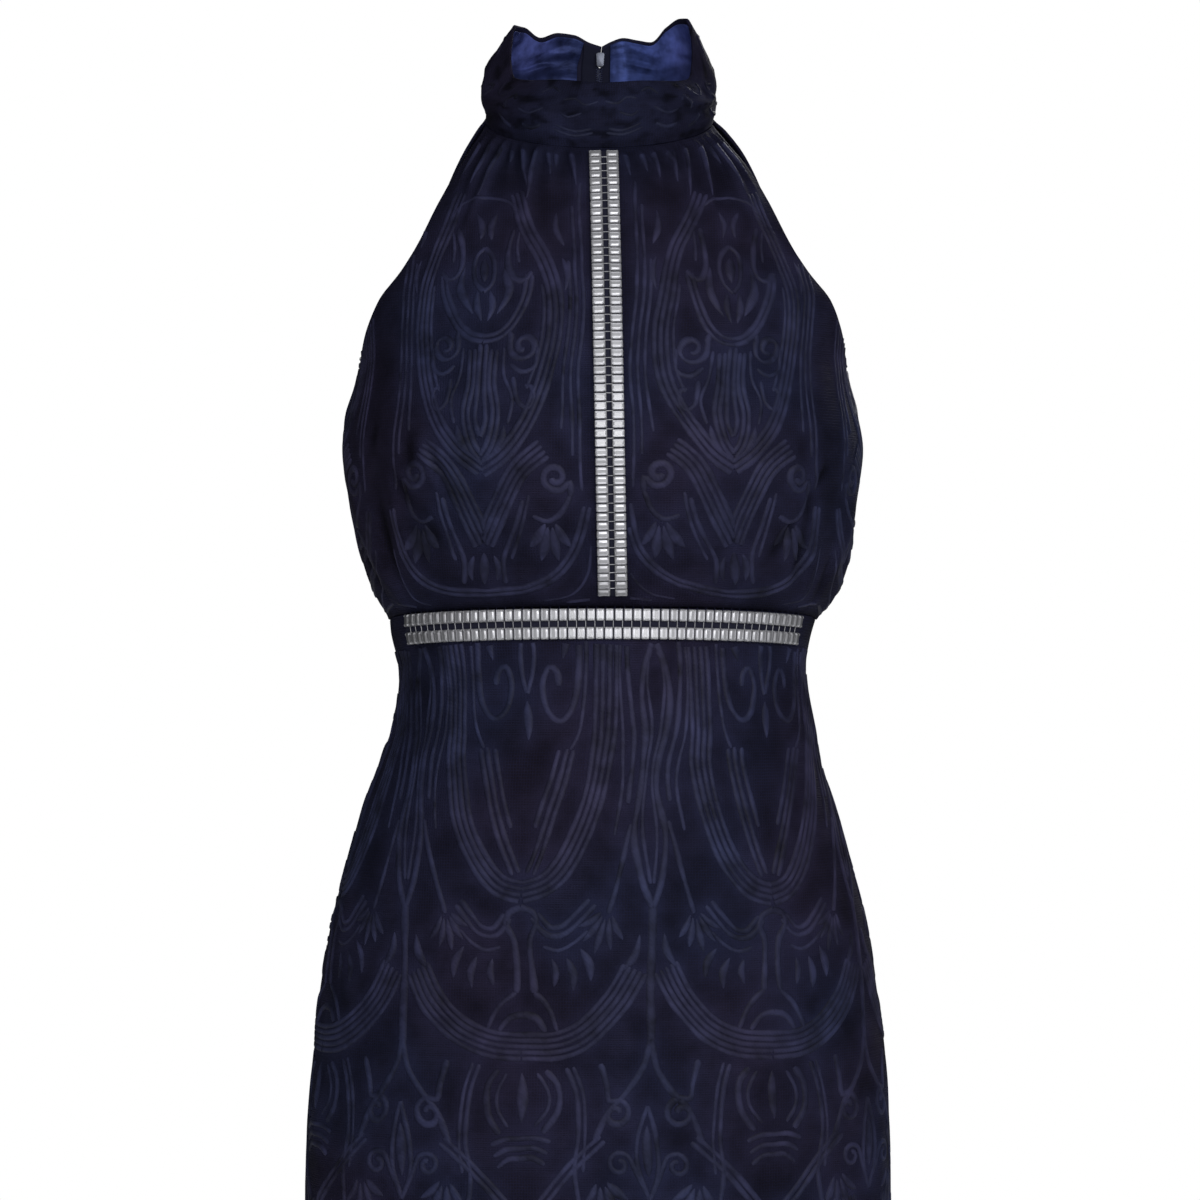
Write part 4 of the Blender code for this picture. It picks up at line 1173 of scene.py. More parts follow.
SKIRT_LINES = (
    # The twin stems, which join and fork again, and the branch with its tassel.
    cord(
        BOLD, (0.0, 1.6), (0.70, 3.4), (0.90, 5.0), (0.55, 7.4), (0.45, 9.8), (0.90, 12.6),
        (0.6, 15.2), (0.0, 16.9),
    ),
    cord(MAIN, (1.35, 0.3), (1.65, 2.8), (1.50, 5.4), (1.10, 8.4), (1.20, 10.6)),
    cord(FINE, (0.42, 2.6), (0.55, 4.2), (0.30, 6.2), (0.18, 9.0), (0.40, 12.4), (0.1, 15.4)),
    cord(FINE, (1.75, 0.3), (2.10, 3.4), (1.95, 6.6), (1.60, 9.6), (2.0, 12.4)),
    cord(BOLD + 0.8, (0.0, 16.9), (0.0, 19.0), (0.0, 22.0), (0.0, 24.6)),
    cord(BOLD, (0.0, 24.6), (0.4, 26.2), (1.3, 27.6), (2.3, 28.8), (3.1, 30.6)),
    cord(MAIN, (1.05, 11.8), (1.55, 13.6), (2.1, 15.6), (2.6, 17.2)),
    *spray((2.6, 16.9), 14, 84, 5, 2.6, 3.4),
    # The swags from the waist, the legs inside them and the hooks above.
    Line(4, 0.37, MAIN, (
        (2.6, 0.3), (2.8, 3.0), (2.9, 6.0), (3.1, 8.8), (3.7, 11.5), (4.8, 13.9), (6.1, 15.5),
        (7.5, 16.0),
    )),
    Line(2, 0.40, MAIN, ((4.9, 7.6), (5.5, 10.2), (6.3, 12.8), (7.1, 14.9))),
    cord(MAIN, (5.6, 7.6), (6.1, 9.8), (6.8, 12.2)),
    cord(
        BOLD, (4.4, 0.4), (4.35, 3.0), (4.7, 5.1), (5.5, 6.0), (6.3, 5.5), (6.6, 4.2), (6.2, 3.2),
        (5.7, 3.5), (5.6, 4.2),
    ),
    leaf((5.35, 0.5), (5.35, 2.8), 4.4),
    cord(FINE, (3.9, 0.4), (3.95, 3.4), (4.3, 6.3), (4.9, 7.6)),
    cord(MAIN, (7.5, 0.6), (7.1, 2.2), (7.2, 3.6), (7.5, 4.6)),
    leaf((7.5, 5.0), (7.5, 7.0), 4.4, 0.0),
    leaf((6.5, 0.4), (6.75, 1.9), 4.0),
    # The pedestal with its arms, on a dome.
    cord(BOLD, (7.5, 16.9), (6.8, 17.2), (6.6, 17.9), (7.0, 18.8), (7.05, 20.2), (6.95, 21.8)),
    Line(2, 0.46, MAIN, ((6.7, 17.4), (5.9, 18.3), (5.0, 18.2), (4.2, 17.4), (3.5, 16.6))),
    cord(FINE, (6.2, 19.2), (5.3, 19.4), (4.4, 18.9), (3.7, 18.2)),
    leaf((4.0, 19.2), (3.4, 21.0), 4.0),
    leaf((4.8, 19.8), (4.5, 21.6), 4.0),
    leaf((5.7, 19.9), (5.7, 21.4), 3.6),
    cord(MAIN, (6.95, 21.8), (6.3, 22.3), (5.8, 23.0), (5.4, 24.0)),
    cord(BOLD, (7.5, 23.1), (6.7, 23.3), (6.1, 24.1)),
    # The wide arcs under them.
    Line(5, 0.36, MAIN, ((0.9, 20.4), (2.0, 22.3), (3.7, 24.0), (5.6, 24.9), (7.5, 25.1))),
    leaf((0.75, 18.4), (1.6, 20.4), 4.0),
    # The scrolls below the arcs.
    cord(BOLD, (6.1, 26.4), (5.4, 27.3), (5.4, 28.8), (6.2, 30.0)),
    cord(FINE, (6.6, 26.6), (6.0, 27.6), (6.0, 28.6), (6.7, 29.6)),
    cord(MAIN, (4.9, 26.1), (4.3, 27.8), (4.05, 30.2), (4.4, 32.6), (4.1, 34.8)),
    cord(FINE, (4.5, 26.0), (3.9, 27.8), (3.65, 30.2), (3.9, 32.4)),
    leaf((7.5, 26.6), (7.5, 29.4), 5.0, 0.0),
    cord(MAIN, (7.5, 30.3), (6.6, 30.3), (5.7, 30.6)),
    cord(MAIN, (7.5, 30.9), (6.7, 30.9), (5.9, 31.3)),
    cord(MAIN, (7.5, 31.5), (6.8, 31.5), (6.1, 32.0)),
    cord(BOLD, (2.9, 25.8), (2.5, 27.2), *curl((1.85, 28.9), 0.95, -60, -1.3)),
    Line(2, 0.40, MAIN, ((2.6, 30.4), (4.4, 32.0), (6.0, 33.8), (7.5, 35.6))),
    cord(MAIN, (0.0, 34.0), (0.7, 32.4), *curl((1.7, 31.9), 0.8, 180, 1.3)),
    cord(MAIN, (0.0, 28.4), (0.5, 30.2), (0.6, 32.2), (0.0, 34.0)),
    leaf((0.0, 29.6), (0.0, 32.6), 5.0, 0.0),
    *spray((2.9, 32.6), -10, 80, 4, 2.8, 4.0),
)
# The collar's piece of the pattern, cut across its scrolls.
COLLAR_LINES = (
    Line(2, 0.30, FAINT, ((0.4, 3.4), (1.3, 3.6), (2.4, 3.2))),
    cord(FINE, (3.3, 3.1), (4.0, 3.4), (4.7, 3.2)),
    cord(FINE, (5.6, 3.6), (6.3, 3.2), (6.6, 2.7)),
    cord(FAINT, (1.0, 2.2), (1.7, 2.5), (2.1, 2.2)),
    cord(FAINT, (3.2, 1.9), (4.1, 2.4), (4.9, 2.1)),
    cord(FINE, (5.9, 2.2), (6.2, 1.7), (5.9, 1.2), (5.5, 1.5)),
    cord(FAINT, (0.2, 1.4), (0.9, 1.6), (1.5, 1.2), (2.2, 1.3)),
    cord(FAINT, (2.6, 0.8), (3.3, 0.5), (3.9, 0.9)),
    cord(FAINT, (6.7, 0.6), (7.0, 1.2), (7.4, 1.4)),
)
SKIRT_REPEAT_DOWN = 34.0


# Cloth that braid is sewn on, all at (aside, down) in centimetres: its frame without its folds,
# how far they lift it, how much painted shade it gets in their hollows, whether a place is on it,
# the place of a point of its flat cut, the side it faces and its pieces.
Ground = namedtuple("Ground", "frame lift hollow holds spread facing pieces")


def panel_ground(panel, *pieces):
    top, bottom = panel.table[0].drop, panel.table[-1].drop

    def across_at(aside, drop):
        return round(aside / half_girth(panel.table, drop), 4)

    def frame(aside, drop):
        return panel_frame(panel.table, panel.facing, across_at(aside, drop), round(drop, 3))

    def lift(aside, drop):
        return panel.lift(across_at(aside, drop), drop)

    def hollow(aside, drop):
        return panel.hollow(across_at(aside, drop), drop)

    def holds(aside, drop):
        if not top + BRAID_MARGIN < drop < bottom - BRAID_MARGIN:
            return False
        return abs(aside) < half_girth(panel.table, drop) - BRAID_MARGIN

    def spread(x, y):
        return x / CM, -y / CM

    return Ground(frame, lift, hollow, holds, spread, panel.facing, pieces)


COLLAR_BRAID_TURN = 174  # how far round the neck and how near its edges braid is sewn on the band
COLLAR_BRAID_MARGIN = 0.06
# How much painted shade the collar's braids get, and how much it differs from patch to patch.
COLLAR_BRAID_DARK, COLLAR_BRAID_VARIETY = 0.60, 0.45


def collar_ground(*pieces):
    def share(aside, down):
        return round(360 * aside * CM / COLLAR_GIRTH, 3), round(1 - down / COLLAR_FLAT_HEIGHT, 4)

    def frame(aside, down):
        turn, up = share(aside, down)
        middle, normal = collar_frame(turn, up)[:2]
        around, rise = collar_sides(turn, up)
        return middle, normal, around.normalized(), -rise.normalized()

    def lift(aside, down):
        return -dent_depth(*share(aside, down))

    def hollow(aside, down):
        # Painted shade: the collar's braids are dimmer all over, unevenly.
        spot = noise.noise(Vector((aside * 0.9, down * 1.6, 9.0)))
        return COLLAR_BRAID_DARK + COLLAR_BRAID_VARIETY * spot

    def holds(aside, down):
        turn, up = share(aside, down)
        inside = COLLAR_BRAID_MARGIN < up < 1 - COLLAR_BRAID_MARGIN
        return inside and abs(turn) < COLLAR_BRAID_TURN

    def spread(x, y):
        return x / CM, (1 - y / COLLAR_HEIGHT) * COLLAR_FLAT_HEIGHT

    return Ground(frame, lift, hollow, holds, spread, -1, pieces)


def sew_braid(lace_work, run, widths, ground):
    """A braid along the places of a run: a low rounded band with its edges sunk in the cloth."""
    count = len(run)
    made = bmesh.ops.create_grid(lace_work, x_segments=3, y_segments=count - 1, size=0.5)
    sections, painted_shadings = [], []
    for index, (aside, drop) in enumerate(run):
        near, far = run[max(index - 1, 0)], run[min(index + 1, count - 1)]
        length = math.dist(near, far) or 1.0
        across, down = (far[0] - near[0]) / length, (far[1] - near[1]) / length
        middle, normal, right, downwards = ground.frame(aside, drop)
        sideways = (right * down - downwards * across) * ground.facing
        uneven = noise.noise(Vector((aside, drop, 5.0)) / BRAID_UNEVEN_SIZE)
        width = widths[index] * (1 + BRAID_UNEVEN * uneven)
        half_width = BRAID_REACH * width / 2 * MM
        crown = min(BRAID_ROUNDNESS * width, BRAID_CROWN) * MM
        points = []
        for place in (-1, -BRAID_CORE, BRAID_CORE, 1):
            reach = ground.facing * place * half_width / CM
            raised = ground.lift(aside + down * reach, drop - across * reach)
            height = raised + (-BRAID_EDGE_SUNK if abs(place) == 1 else crown)
            points.append(middle + sideways * place * half_width + normal * height)
        sections.append(points)
        # A braid takes on the painted shade of the cloth under it.
        painted_shadings.append(ground.hollow(aside, drop))
    full, hollow = (lace_work.verts.layers.float[layer] for layer in ("full", "hollow"))
    for corner in made["verts"]:
        part = round((corner.co.x + 0.5) * 3)
        index = round((corner.co.y + 0.5) * (count - 1))
        corner.co = sections[index][part]
        # The flanks carry a painted contact shadow, the crown the braid's own colour.
        corner[full] = 1.0 if part in (1, 2) else 0.0
        corner[hollow] = painted_shadings[index]


def stretched(aside, drop):
    """Where a place of the pattern lies once the lace is pulled a little out of true."""
    spot = Vector((aside, drop, 0.0)) / STRETCH_SIZE
    moves = [STRETCH * noise.noise(spot + Vector((0.0, 0.0, layer))) for layer in STRETCH_LAYERS]
    return aside + moves[0], drop + moves[1]


def mark_worked(ground, spots):
    """Says in the attribute "worked" how close stitched the cloth is, round the pattern's spots."""
    tree = kdtree.KDTree(len(spots))
    for index, (aside, drop) in enumerate(spots):
        tree.insert((aside, drop, 0.0), index)
    tree.balance()
    for piece in ground.pieces:
        places = {}
        cut = piece.data.uv_layers["UVMap"].data
        for loop in piece.data.loops:
            if loop.vertex_index not in places:
                places[loop.vertex_index] = ground.spread(*cut[loop.index].uv)
        worked = piece.data.attributes.new("worked", "FLOAT", "POINT")
        for index, (aside, drop) in places.items():
            near = tree.find_range((aside, drop, 0.0), 2.2 * WORKED_REACH)
            total = sum(math.exp(-((found[2] / WORKED_REACH) ** 2)) for found in near)
            worked.data[index].value = 1 - math.exp(-WORKED_CLOSE * total)


def pattern_strands(lines):
    """The (points, widths) of each braid of the pattern's lines, on one side of its mirror line."""
    strands = []
    for line in lines:
        points = smooth_line(line.places)
        last = len(points) - 1
        if line.pointed:
            turns = [math.pi * (i + 0.35) / (last + 0.7) for i in range(last + 1)]
            widths = [line.width * math.sin(turn) for turn in turns]
        else:
            widths = [line.width] * (last + 1)
            for end in (0, last):
                if ON_MIRROR < points[end][0] < REPEAT_HALF - ON_MIRROR:
                    widths[end] *= BRAID_ROUNDED_END
        for braid in range(line.braids):
            shift = (braid - (line.braids - 1) / 2) * line.apart
            moved = beside(points, shift) if shift else points
            strands.append(([(min(aside, REPEAT_HALF), down) for aside, down in moved], widths))
    return strands


def pattern_runs(ground, lines, mirror_line, tiers, covers):
    """The (places, widths) of the pattern's braids wherever covers(aside, drop) lets them show."""
    strands = pattern_strands(lines)
    runs = []
    for repeat, turned, start in product(range(-2, 3), (1, -1), tiers):
        for points, widths in strands:
            asides = [aside for aside, down in points]
            on_mirror = max(asides) < ON_MIRROR or min(asides) > REPEAT_HALF - ON_MIRROR
            if on_mirror and turned < 0:
                continue
            run, run_widths = [], []
            for (aside, down), width in zip([*points, (0.0, BRAID_END)], [*widths, 0.0]):
                place = mirror_line + 2 * REPEAT_HALF * repeat + turned * aside
                place, drop = stretched(place, start + down)
                if ground.holds(place, drop) and covers(place, drop):
                    run.append((place, drop))
                    run_widths.append(width)
                    continue
                if len(run) > 2:
                    runs.append((run, run_widths))
                run, run_widths = [], []
    return runs


GATHER_BRAID_START = 3  # the step of a braid at which those on the gathers begin
GATHER_BRAID_LENGTH = 0.85  # the share of a gather that its braid runs down
GATHER_BRAID_EDGE = 0.95  # the share of the half girth beyond which a gather has none
GATHER_BRAID_TAPER = 1.35  # the angle whose cosine is its width's last share


def gather_runs(panel):
    """Braids of the lace that run down the ridges of the gathers."""
    runs = []
    for gather in GATHERS:
        run = []
        steps = int(gather.length * GATHER_BRAID_LENGTH / BRAID_STEP)
        for step in range(GATHER_BRAID_START, steps + 1):
            drop = step * BRAID_STEP
            across = gather.across + gather.slant * drop
            across -= gather_wander(across, drop)
            run.append((across * half_girth(panel.table, drop), drop))
        if abs(gather.across) < GATHER_BRAID_EDGE and len(run) > 2:
            turns = [GATHER_BRAID_TAPER * i / (len(run) - 1) for i in range(len(run))]
            runs.append((run, [BOLD * math.cos(turn) for turn in turns]))
    return runs


def sew_braids(name, ground, runs, finish):
    """The braids of all these runs on a ground, as one piece."""
    lace_work = bmesh.new()
    for layer in ("full", "hollow"):
        lace_work.verts.layers.float.new(layer)
    for run, widths in runs:
        sew_braid(lace_work, run, widths, ground)
    mark_worked(ground, [place for run, widths in runs for place in run])
    piece = finished(name, lace_work, finish, 180)
    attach(piece, "dress")
    return piece


BRAID_COLOUR = (0.0165, 0.0174, 0.0405)
# The painted contact shadow along a braid's sunk flanks.
BRAID_FLANK_PAINTED_SHADOW = (0.0074, 0.0074, 0.0175)
BRAID_PLY = 1.3 * MM


def make_braid_material():
    """Navy viscose braid with a soft lustre, its threads plaited across it."""
    made = new_material("navy braid", BRAID_COLOUR, 0.60, Specular_IOR_Level=0.10)
    tree = made.node_tree
    # Painted shadow: the braid darkens towards its sunk flanks. It also gets random fading in
    # patches and the painted shade of the cloth under it.
    threads = add_mix(tree, A=opaque(BRAID_FLANK_PAINTED_SHADOW), B=opaque(BRAID_COLOUR))
    tone_and_painted_shade = add_tone_and_painted_shade(tree, Patch_Size=18 * MM, Amount=0.75)
    place = add_node(tree, "ShaderNodeTexCoord")
    plies = add_node(tree, "ShaderNodeTexWave", bands_direction="DIAGONAL")
    set_inputs(plies, Scale=WAVE_SCALE / BRAID_PLY, Distortion=1.5, Detail=1.0)
    join(
        tree, (add_attribute(tree, "full"), "Fac", threads, "Factor"),
        (threads, "Result", tone_and_painted_shade, "Colour"), (place, "Object", plies, "Vector"),
    )
    add_bump(tree, 0.3, 0.3 * MM, plies, "Fac")
    return made


TRIM_COVER = 1.0  # how far from its middle in centimetres a trim or the zip hides the pattern
WAIST_TRIM_COVER = 1.8
ZIP_COVER = 0.45
FRONT_TRIM_TOP_DROP = 0.40
FRONT_TRIM_BOTTOM_DROP = 29.35
FRONT_TRIM_TOP_X = 0.27
FRONT_TRIM_BOTTOM_X = 0.81


def trim_middle(drop):
    """How far the straight stone trim's middle is from the front's, in centimetres."""
    share = (drop - FRONT_TRIM_TOP_DROP) / (FRONT_TRIM_BOTTOM_DROP - FRONT_TRIM_TOP_DROP)
    x = FRONT_TRIM_TOP_X + (FRONT_TRIM_BOTTOM_X - FRONT_TRIM_TOP_X) * share
    return x - smooth_row(SIDES, drop).lean


def clear_of_trim(aside, drop):
    return abs(aside - trim_middle(drop)) > TRIM_COVER


def under_waist_trim(aside, drop):
    return drop > WAIST + WAIST_TRIM_COVER


def clear_of_zip(aside, drop):
    return abs(aside) > ZIP_COVER


def everywhere(aside, drop):
    return True


BODICE_MIRROR_LINE = 0.25
SKIRT_MIRROR_LINE = 3.0
skirt_tiers = (WAIST, WAIST + SKIRT_REPEAT_DOWN)
braid = make_braid_material()

bodice_front_ground = panel_ground(bodice_front_panel, bodice_front)
front_runs = pattern_runs(
    bodice_front_ground, BODICE_LINES, BODICE_MIRROR_LINE, (0.0,), clear_of_trim
)
front_runs += gather_runs(bodice_front_panel)
sew_braids("bodice_front_braids", bodice_front_ground, front_runs, braid)

for name, ground, lines, mirror_line, tiers, covers in (
    ("bodice_back", panel_ground(bodice_back_panel, *bodice_back), BODICE_LINES, 0.0, (0.0,),
     clear_of_zip),
    ("skirt_front", panel_ground(skirt_front_panel, skirt_front), SKIRT_LINES, SKIRT_MIRROR_LINE,
     skirt_tiers, under_waist_trim),
    ("skirt_back", panel_ground(skirt_back_panel, *skirt_back), SKIRT_LINES, 0.0, skirt_tiers,
     clear_of_zip),
    ("collar", collar_ground(collar), COLLAR_LINES, 0.0, (0.0,), everywhere),
):
    runs = pattern_runs(ground, lines, mirror_line, tiers, covers)
    sew_braids(f"{name}_braids", ground, runs, braid)

# ---------------------------------------------------------------------------------------------
# The stone trims. Two rows of clear step-cut stones in silver box settings, linked across the
# groove between them and sewn through a navy tape: one down the front, one across the waist.
# ---------------------------------------------------------------------------------------------
STONE_PITCH = 5.4 * MM
STONE_ROW = 0.505  # centimetres from the trim's middle to the middle of a row
SETTING_SIZE = Vector((7.2, 4.75, 1.3)) * MM
STONE_SIZE = Vector((6.6, 4.1, 1.0)) * MM
STONE_LIFT = 0.5 * MM
LINK_SIZE = Vector((4.6, 0.45, 0.4)) * MM
LINK_LIFT = 0.3 * MM
LINK_EDGE = 0.15 * MM
TIE_SIZE = Vector((2.0, 0.4, 0.4)) * MM
TIE_EDGE = 0.12 * MM
TRIM_TAPE = 0.6 * MM
TRIM_TAPE_HALF_WIDTH = 0.84
TIE_ASIDE = 0.87
WAIST_TRIM_MIDDLE_DROP = WAIST + 0.86
WAIST_TRIM_RIGHT_END = -0.745
WAIST_TRIM_LEFT_END = 0.765
TRIM_CLEARANCE = 0.4 * MM
TRIM_TAPE_LENGTH = 0.29
TRIM_TAPE_WIDTH = 0.0186
TRIM_TAPE_COLUMNS = 6
# A trim: its name, its panel, and the place (across, drop) of its point at a share of its length
# and a distance aside in centimetres.
Trim = namedtuple("Trim", "name panel place")


def front_trim_place(share, aside):
    drop = FRONT_TRIM_TOP_DROP + (FRONT_TRIM_BOTTOM_DROP - FRONT_TRIM_TOP_DROP) * share
    return (trim_middle(drop) + aside) / half_girth(BODICE_FRONT, drop), drop


def waist_trim_place(share, aside):
    across = WAIST_TRIM_RIGHT_END + (WAIST_TRIM_LEFT_END - WAIST_TRIM_RIGHT_END) * share
    return across, WAIST_TRIM_MIDDLE_DROP + aside


front_trim = Trim("front_trim", bodice_front_panel, front_trim_place)
waist_trim = Trim("waist_trim", skirt_front_panel, waist_trim_place)


def trim_point(trim, share, aside, height):
    across, drop = trim.place(share, aside)
    return on_cloth(trim.panel, across, drop, TRIM_CLEARANCE + height)


def hard_frame(middle, along, across):
    """The matrix of a hard piece in its place, its x across, its y along and its z to the front."""
    out = across.cross(along).normalized()
    if out.y > 0:
        out.negate()
    y = (along - out * along.dot(out)).normalized()
    x = y.cross(out)
    return Matrix.Translation(middle) @ Matrix((x, y, out)).transposed().to_4x4()


SMALL_SHARE = 0.004  # the steps that a direction on a trim is measured over
SMALL_ASIDE = 0.15


def trim_frame(trim, share, aside, height):
    middle = trim_point(trim, share, aside, height)
    along = trim_point(trim, share + SMALL_SHARE, aside, height) - middle
    across = trim_point(trim, share, aside + SMALL_ASIDE, height) - middle
    return hard_frame(middle, along, across)


TRIM_STEPS = 160


def trim_shares(trim, pitch):
    """The shares of a trim's length at its stones, a pitch apart along the cloth."""
    shares_along = [step / TRIM_STEPS for step in range(TRIM_STEPS + 1)]
    lengths = running_lengths([trim_point(trim, share, 0.0, 0.0) for share in shares_along])
    count = int(lengths[-1] / pitch)
    start = (lengths[-1] - count * pitch) / 2
    shares = []
    for stone in range(count):
        wanted = start + (stone + 0.5) * pitch
        index = next(i for i, length in enumerate(lengths) if length > wanted)
        part = (wanted - lengths[index - 1]) / (lengths[index] - lengths[index - 1])
        shares.append((index - 1 + part) / TRIM_STEPS)
    return shares


def block(size, lift=0.0):
    """A cube of that size which stands on the plane z = lift."""
    shape = bmesh.new()
    bmesh.ops.create_cube(shape, size=1)
    for corner in shape.verts:
        corner.co = corner.co * size + Vector((0, 0, lift + size.z / 2))
    return shape


def upright(shape):
    return [edge for edge in shape.edges if abs(edge.verts[0].co.z - edge.verts[1].co.z) > 1e-5]


def top_face(shape):
    return max(shape.faces, key=lambda face: face.calc_center_median().z)


def bevelled(shape, edges, offset, segments=1):
    bmesh.ops.bevel(
        shape, geom=edges, offset=offset, affect="EDGES", segments=segments, profile=0.5,
        material=-1,
    )
    return shape


SETTING_CORNER = 0.5 * MM
SETTING_RIM = 0.35 * MM
SETTING_POCKET = 0.4 * MM
CLAW_SIZE = Vector((0.9, 0.8, 0.9)) * MM
CLAW_PLACE = Vector((3.0, 1.85, 1.55)) * MM
CLAW_BEND = 0.35 * MM
STONE_CORNER = 0.7 * MM
STONE_STEPS = ((0.55 * MM, 0.4 * MM), (0.65 * MM, 0.25 * MM))  # how wide and how high each is


def step_in(shape, thickness, depth):
    bmesh.ops.inset_individual(shape, faces=[top_face(shape)], thickness=thickness, depth=depth)


def setting_shape():
    """A box setting with a sunk pocket and a claw at each corner, bent in over its stone."""
    shape = block(SETTING_SIZE)
    bevelled(shape, upright(shape), SETTING_CORNER)
    step_in(shape, SETTING_RIM, -SETTING_POCKET)
    for x, y in product((-1, 1), (-1, 1)):
        for corner in bmesh.ops.create_cube(shape, size=1)["verts"]:
            bend = CLAW_BEND if corner.co.z > 0 else 0.0
            place = Vector((x * (CLAW_PLACE.x - bend), y * (CLAW_PLACE.y - bend), CLAW_PLACE.z))
            corner.co = corner.co * CLAW_SIZE + place
    return shape


def stone_shape():
    """A step-cut stone: a girdle with cut corners, two steps and a table."""
    shape = block(STONE_SIZE, STONE_LIFT)
    bevelled(shape, upright(shape), STONE_CORNER)
    for width, height in STONE_STEPS:
        step_in(shape, width, height)
    return shape


# How bright a stone's facets are painted, as painted glints: the stone as a whole and how much one
# differs from the next, the painted shade where the dress turns to the wearer's right, and its
# facets' own shares.
STONE_SHINE, STONE_VARIETY = 0.92, 0.24
TURNED_LOSS = 0.6
END_FACETS, SIDE_FACETS, TABLE_FACET = 0.95, 0.45, 0.50
FACET_VARIETY = 0.15


def painted_facet_glint(face, own):
    # Painted glints: the end facets are painted brighter than the side ones, the table dimmer, each
    # a little different at random.
    ends = END_FACETS if abs(face.normal.y) > 0.2 else SIDE_FACETS
    tilt = FACET_VARIETY * noise.random()
    return own * (TABLE_FACET if face.normal.z > 0.99 else ends + tilt)


def repeated(name, template, places, finish, sharp_angle=20, facets=False):
    """One piece of many copies of a template, one at each matrix. The template is freed.

    With facets, each face gets a painted glint of its own, kept in an attribute.
    """
    template.normal_update()
    single = bpy.data.meshes.new(name + "_single")
    template.to_mesh(single)
    template.free()
    whole = bmesh.new()
    brightness = whole.faces.layers.float.new("painted_glint") if facets else None
    for place in places:
        first_corner, first_face = len(whole.verts), len(whole.faces)
        whole.from_mesh(single)
        whole.verts.ensure_lookup_table()
        whole.faces.ensure_lookup_table()
        if facets:
            # Painted light: a stone is painted duller as it turns from the front, and darker still
            # where the dress turns to the wearer's right.
            facing = place.col[2]
            own = (STONE_SHINE + STONE_VARIETY * noise.random()) * facing.y**2
            own *= 1 + TURNED_LOSS * min(facing.x, 0.0)
            for face in whole.faces[first_face:]:
                face[brightness] = painted_facet_glint(face, own)
        bmesh.ops.transform(whole, matrix=place, verts=whole.verts[first_corner:])
    bpy.data.meshes.remove(single)
    return finished(name, whole, finish, sharp_angle)


STONE_COLOUR = (0.70, 0.70, 0.74)
WEAVE_PITCH = 0.7 * MM


def make_stone():
    """Clear glass on foil, its facets each as bright as the glint painted in their own attribute."""
    made = new_material(
        "clear stone", STONE_COLOUR, 0.30, Metallic=0.15, Coat_Weight=0.5, Coat_Roughness=0.12
    )
    tree = made.node_tree
    shade = add_mix(tree, "MULTIPLY", Factor=1.0, A=opaque(STONE_COLOUR))
    join(
        tree, (add_attribute(tree, "painted_glint"), "Fac", shade, "B"),
        (shade, "Result", shader_of(tree), "Base Color"),
    )
    return made


def make_tape_material(name, colour):
    """Close-woven navy polyester tape."""
    made = new_material(name, colour, 0.70, Specular_IOR_Level=0.08)
    tree = made.node_tree
    cut = add_node(tree, "ShaderNodeUVMap", uv_map="UVMap")
    weave = add_node(tree, "ShaderNodeTexWave", bands_direction="Y")
    set_inputs(weave, Scale=WAVE_SCALE / WEAVE_PITCH, Distortion=0.6)
    join(tree, (cut, "UV", weave, "Vector"))
    add_bump(tree, 0.4, 0.2 * MM, weave, "Fac")
    return made


def make_trim(trim, rows):
    """A trim's tape, settings, stones, links and the ties that hold its edges to the lace."""
    shares = trim_shares(trim, STONE_PITCH)
    step = (shares[-1] - shares[0]) / (len(shares) - 1)
    upwards = trim.name == "front_trim"

    def tape_place(u, v, height):
        share, aside = (1 - v, 2 * u - 1) if upwards else (u, 1 - 2 * v)
        return trim_point(trim, share, aside * TRIM_TAPE_HALF_WIDTH, height + TRIM_TAPE)

    def tape_flat(u, v):
        if upwards:
            return u * TRIM_TAPE_WIDTH, v * TRIM_TAPE_LENGTH
        return v * TRIM_TAPE_WIDTH, u * TRIM_TAPE_LENGTH

    def frames(places, asides, height):
        return [trim_frame(trim, share, aside, height) for share, aside in product(places, asides)]

    grid = (TRIM_TAPE_COLUMNS, rows) if upwards else (rows, TRIM_TAPE_COLUMNS)
    band = cloth_wall(trim.name + "_tape", *grid, tape_place, tape_flat, TRIM_TAPE, trim_tape)
    gaps = [share + step / 2 for share in shares[:-1]]
    in_rows = frames(shares, (-STONE_ROW, STONE_ROW), TRIM_TAPE)
    in_groove = frames(gaps, (0.0,), TRIM_TAPE)
    at_edges = frames(gaps, (-TIE_ASIDE, TIE_ASIDE), TRIM_TAPE / 2)
    link, tie = block(LINK_SIZE, LINK_LIFT), block(TIE_SIZE)
    bevelled(link, link.edges[:], LINK_EDGE)
    bevelled(tie, tie.edges[:], TIE_EDGE)
    for piece, slot in (
        (band, "tape"),
        (repeated(trim.name + "_settings", setting_shape(), in_rows, silver), "stones"),
        (repeated(trim.name + "_stones", stone_shape(), in_rows, stone, facets=True), "stones"),
        (repeated(trim.name + "_links", link, in_groove, silver), "stones"),
        (repeated(trim.name + "_ties", tie, at_edges, thread), "tape"),
    ):
        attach(piece, "dress")
        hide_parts(trim.name)


noise.seed_set(7)
# The settings are rhodium-plated brass, bright but lightly brushed.
silver = new_material("silver setting", (0.36, 0.36, 0.38), 0.45, Metallic=0.5)
stone = make_stone()
trim_tape = make_tape_material("navy trim tape", (0.012, 0.0125, 0.024))
thread = make_tape_material("navy thread", (0.010, 0.011, 0.026))
make_trim(front_trim, 120)
make_trim(waist_trim, 120)

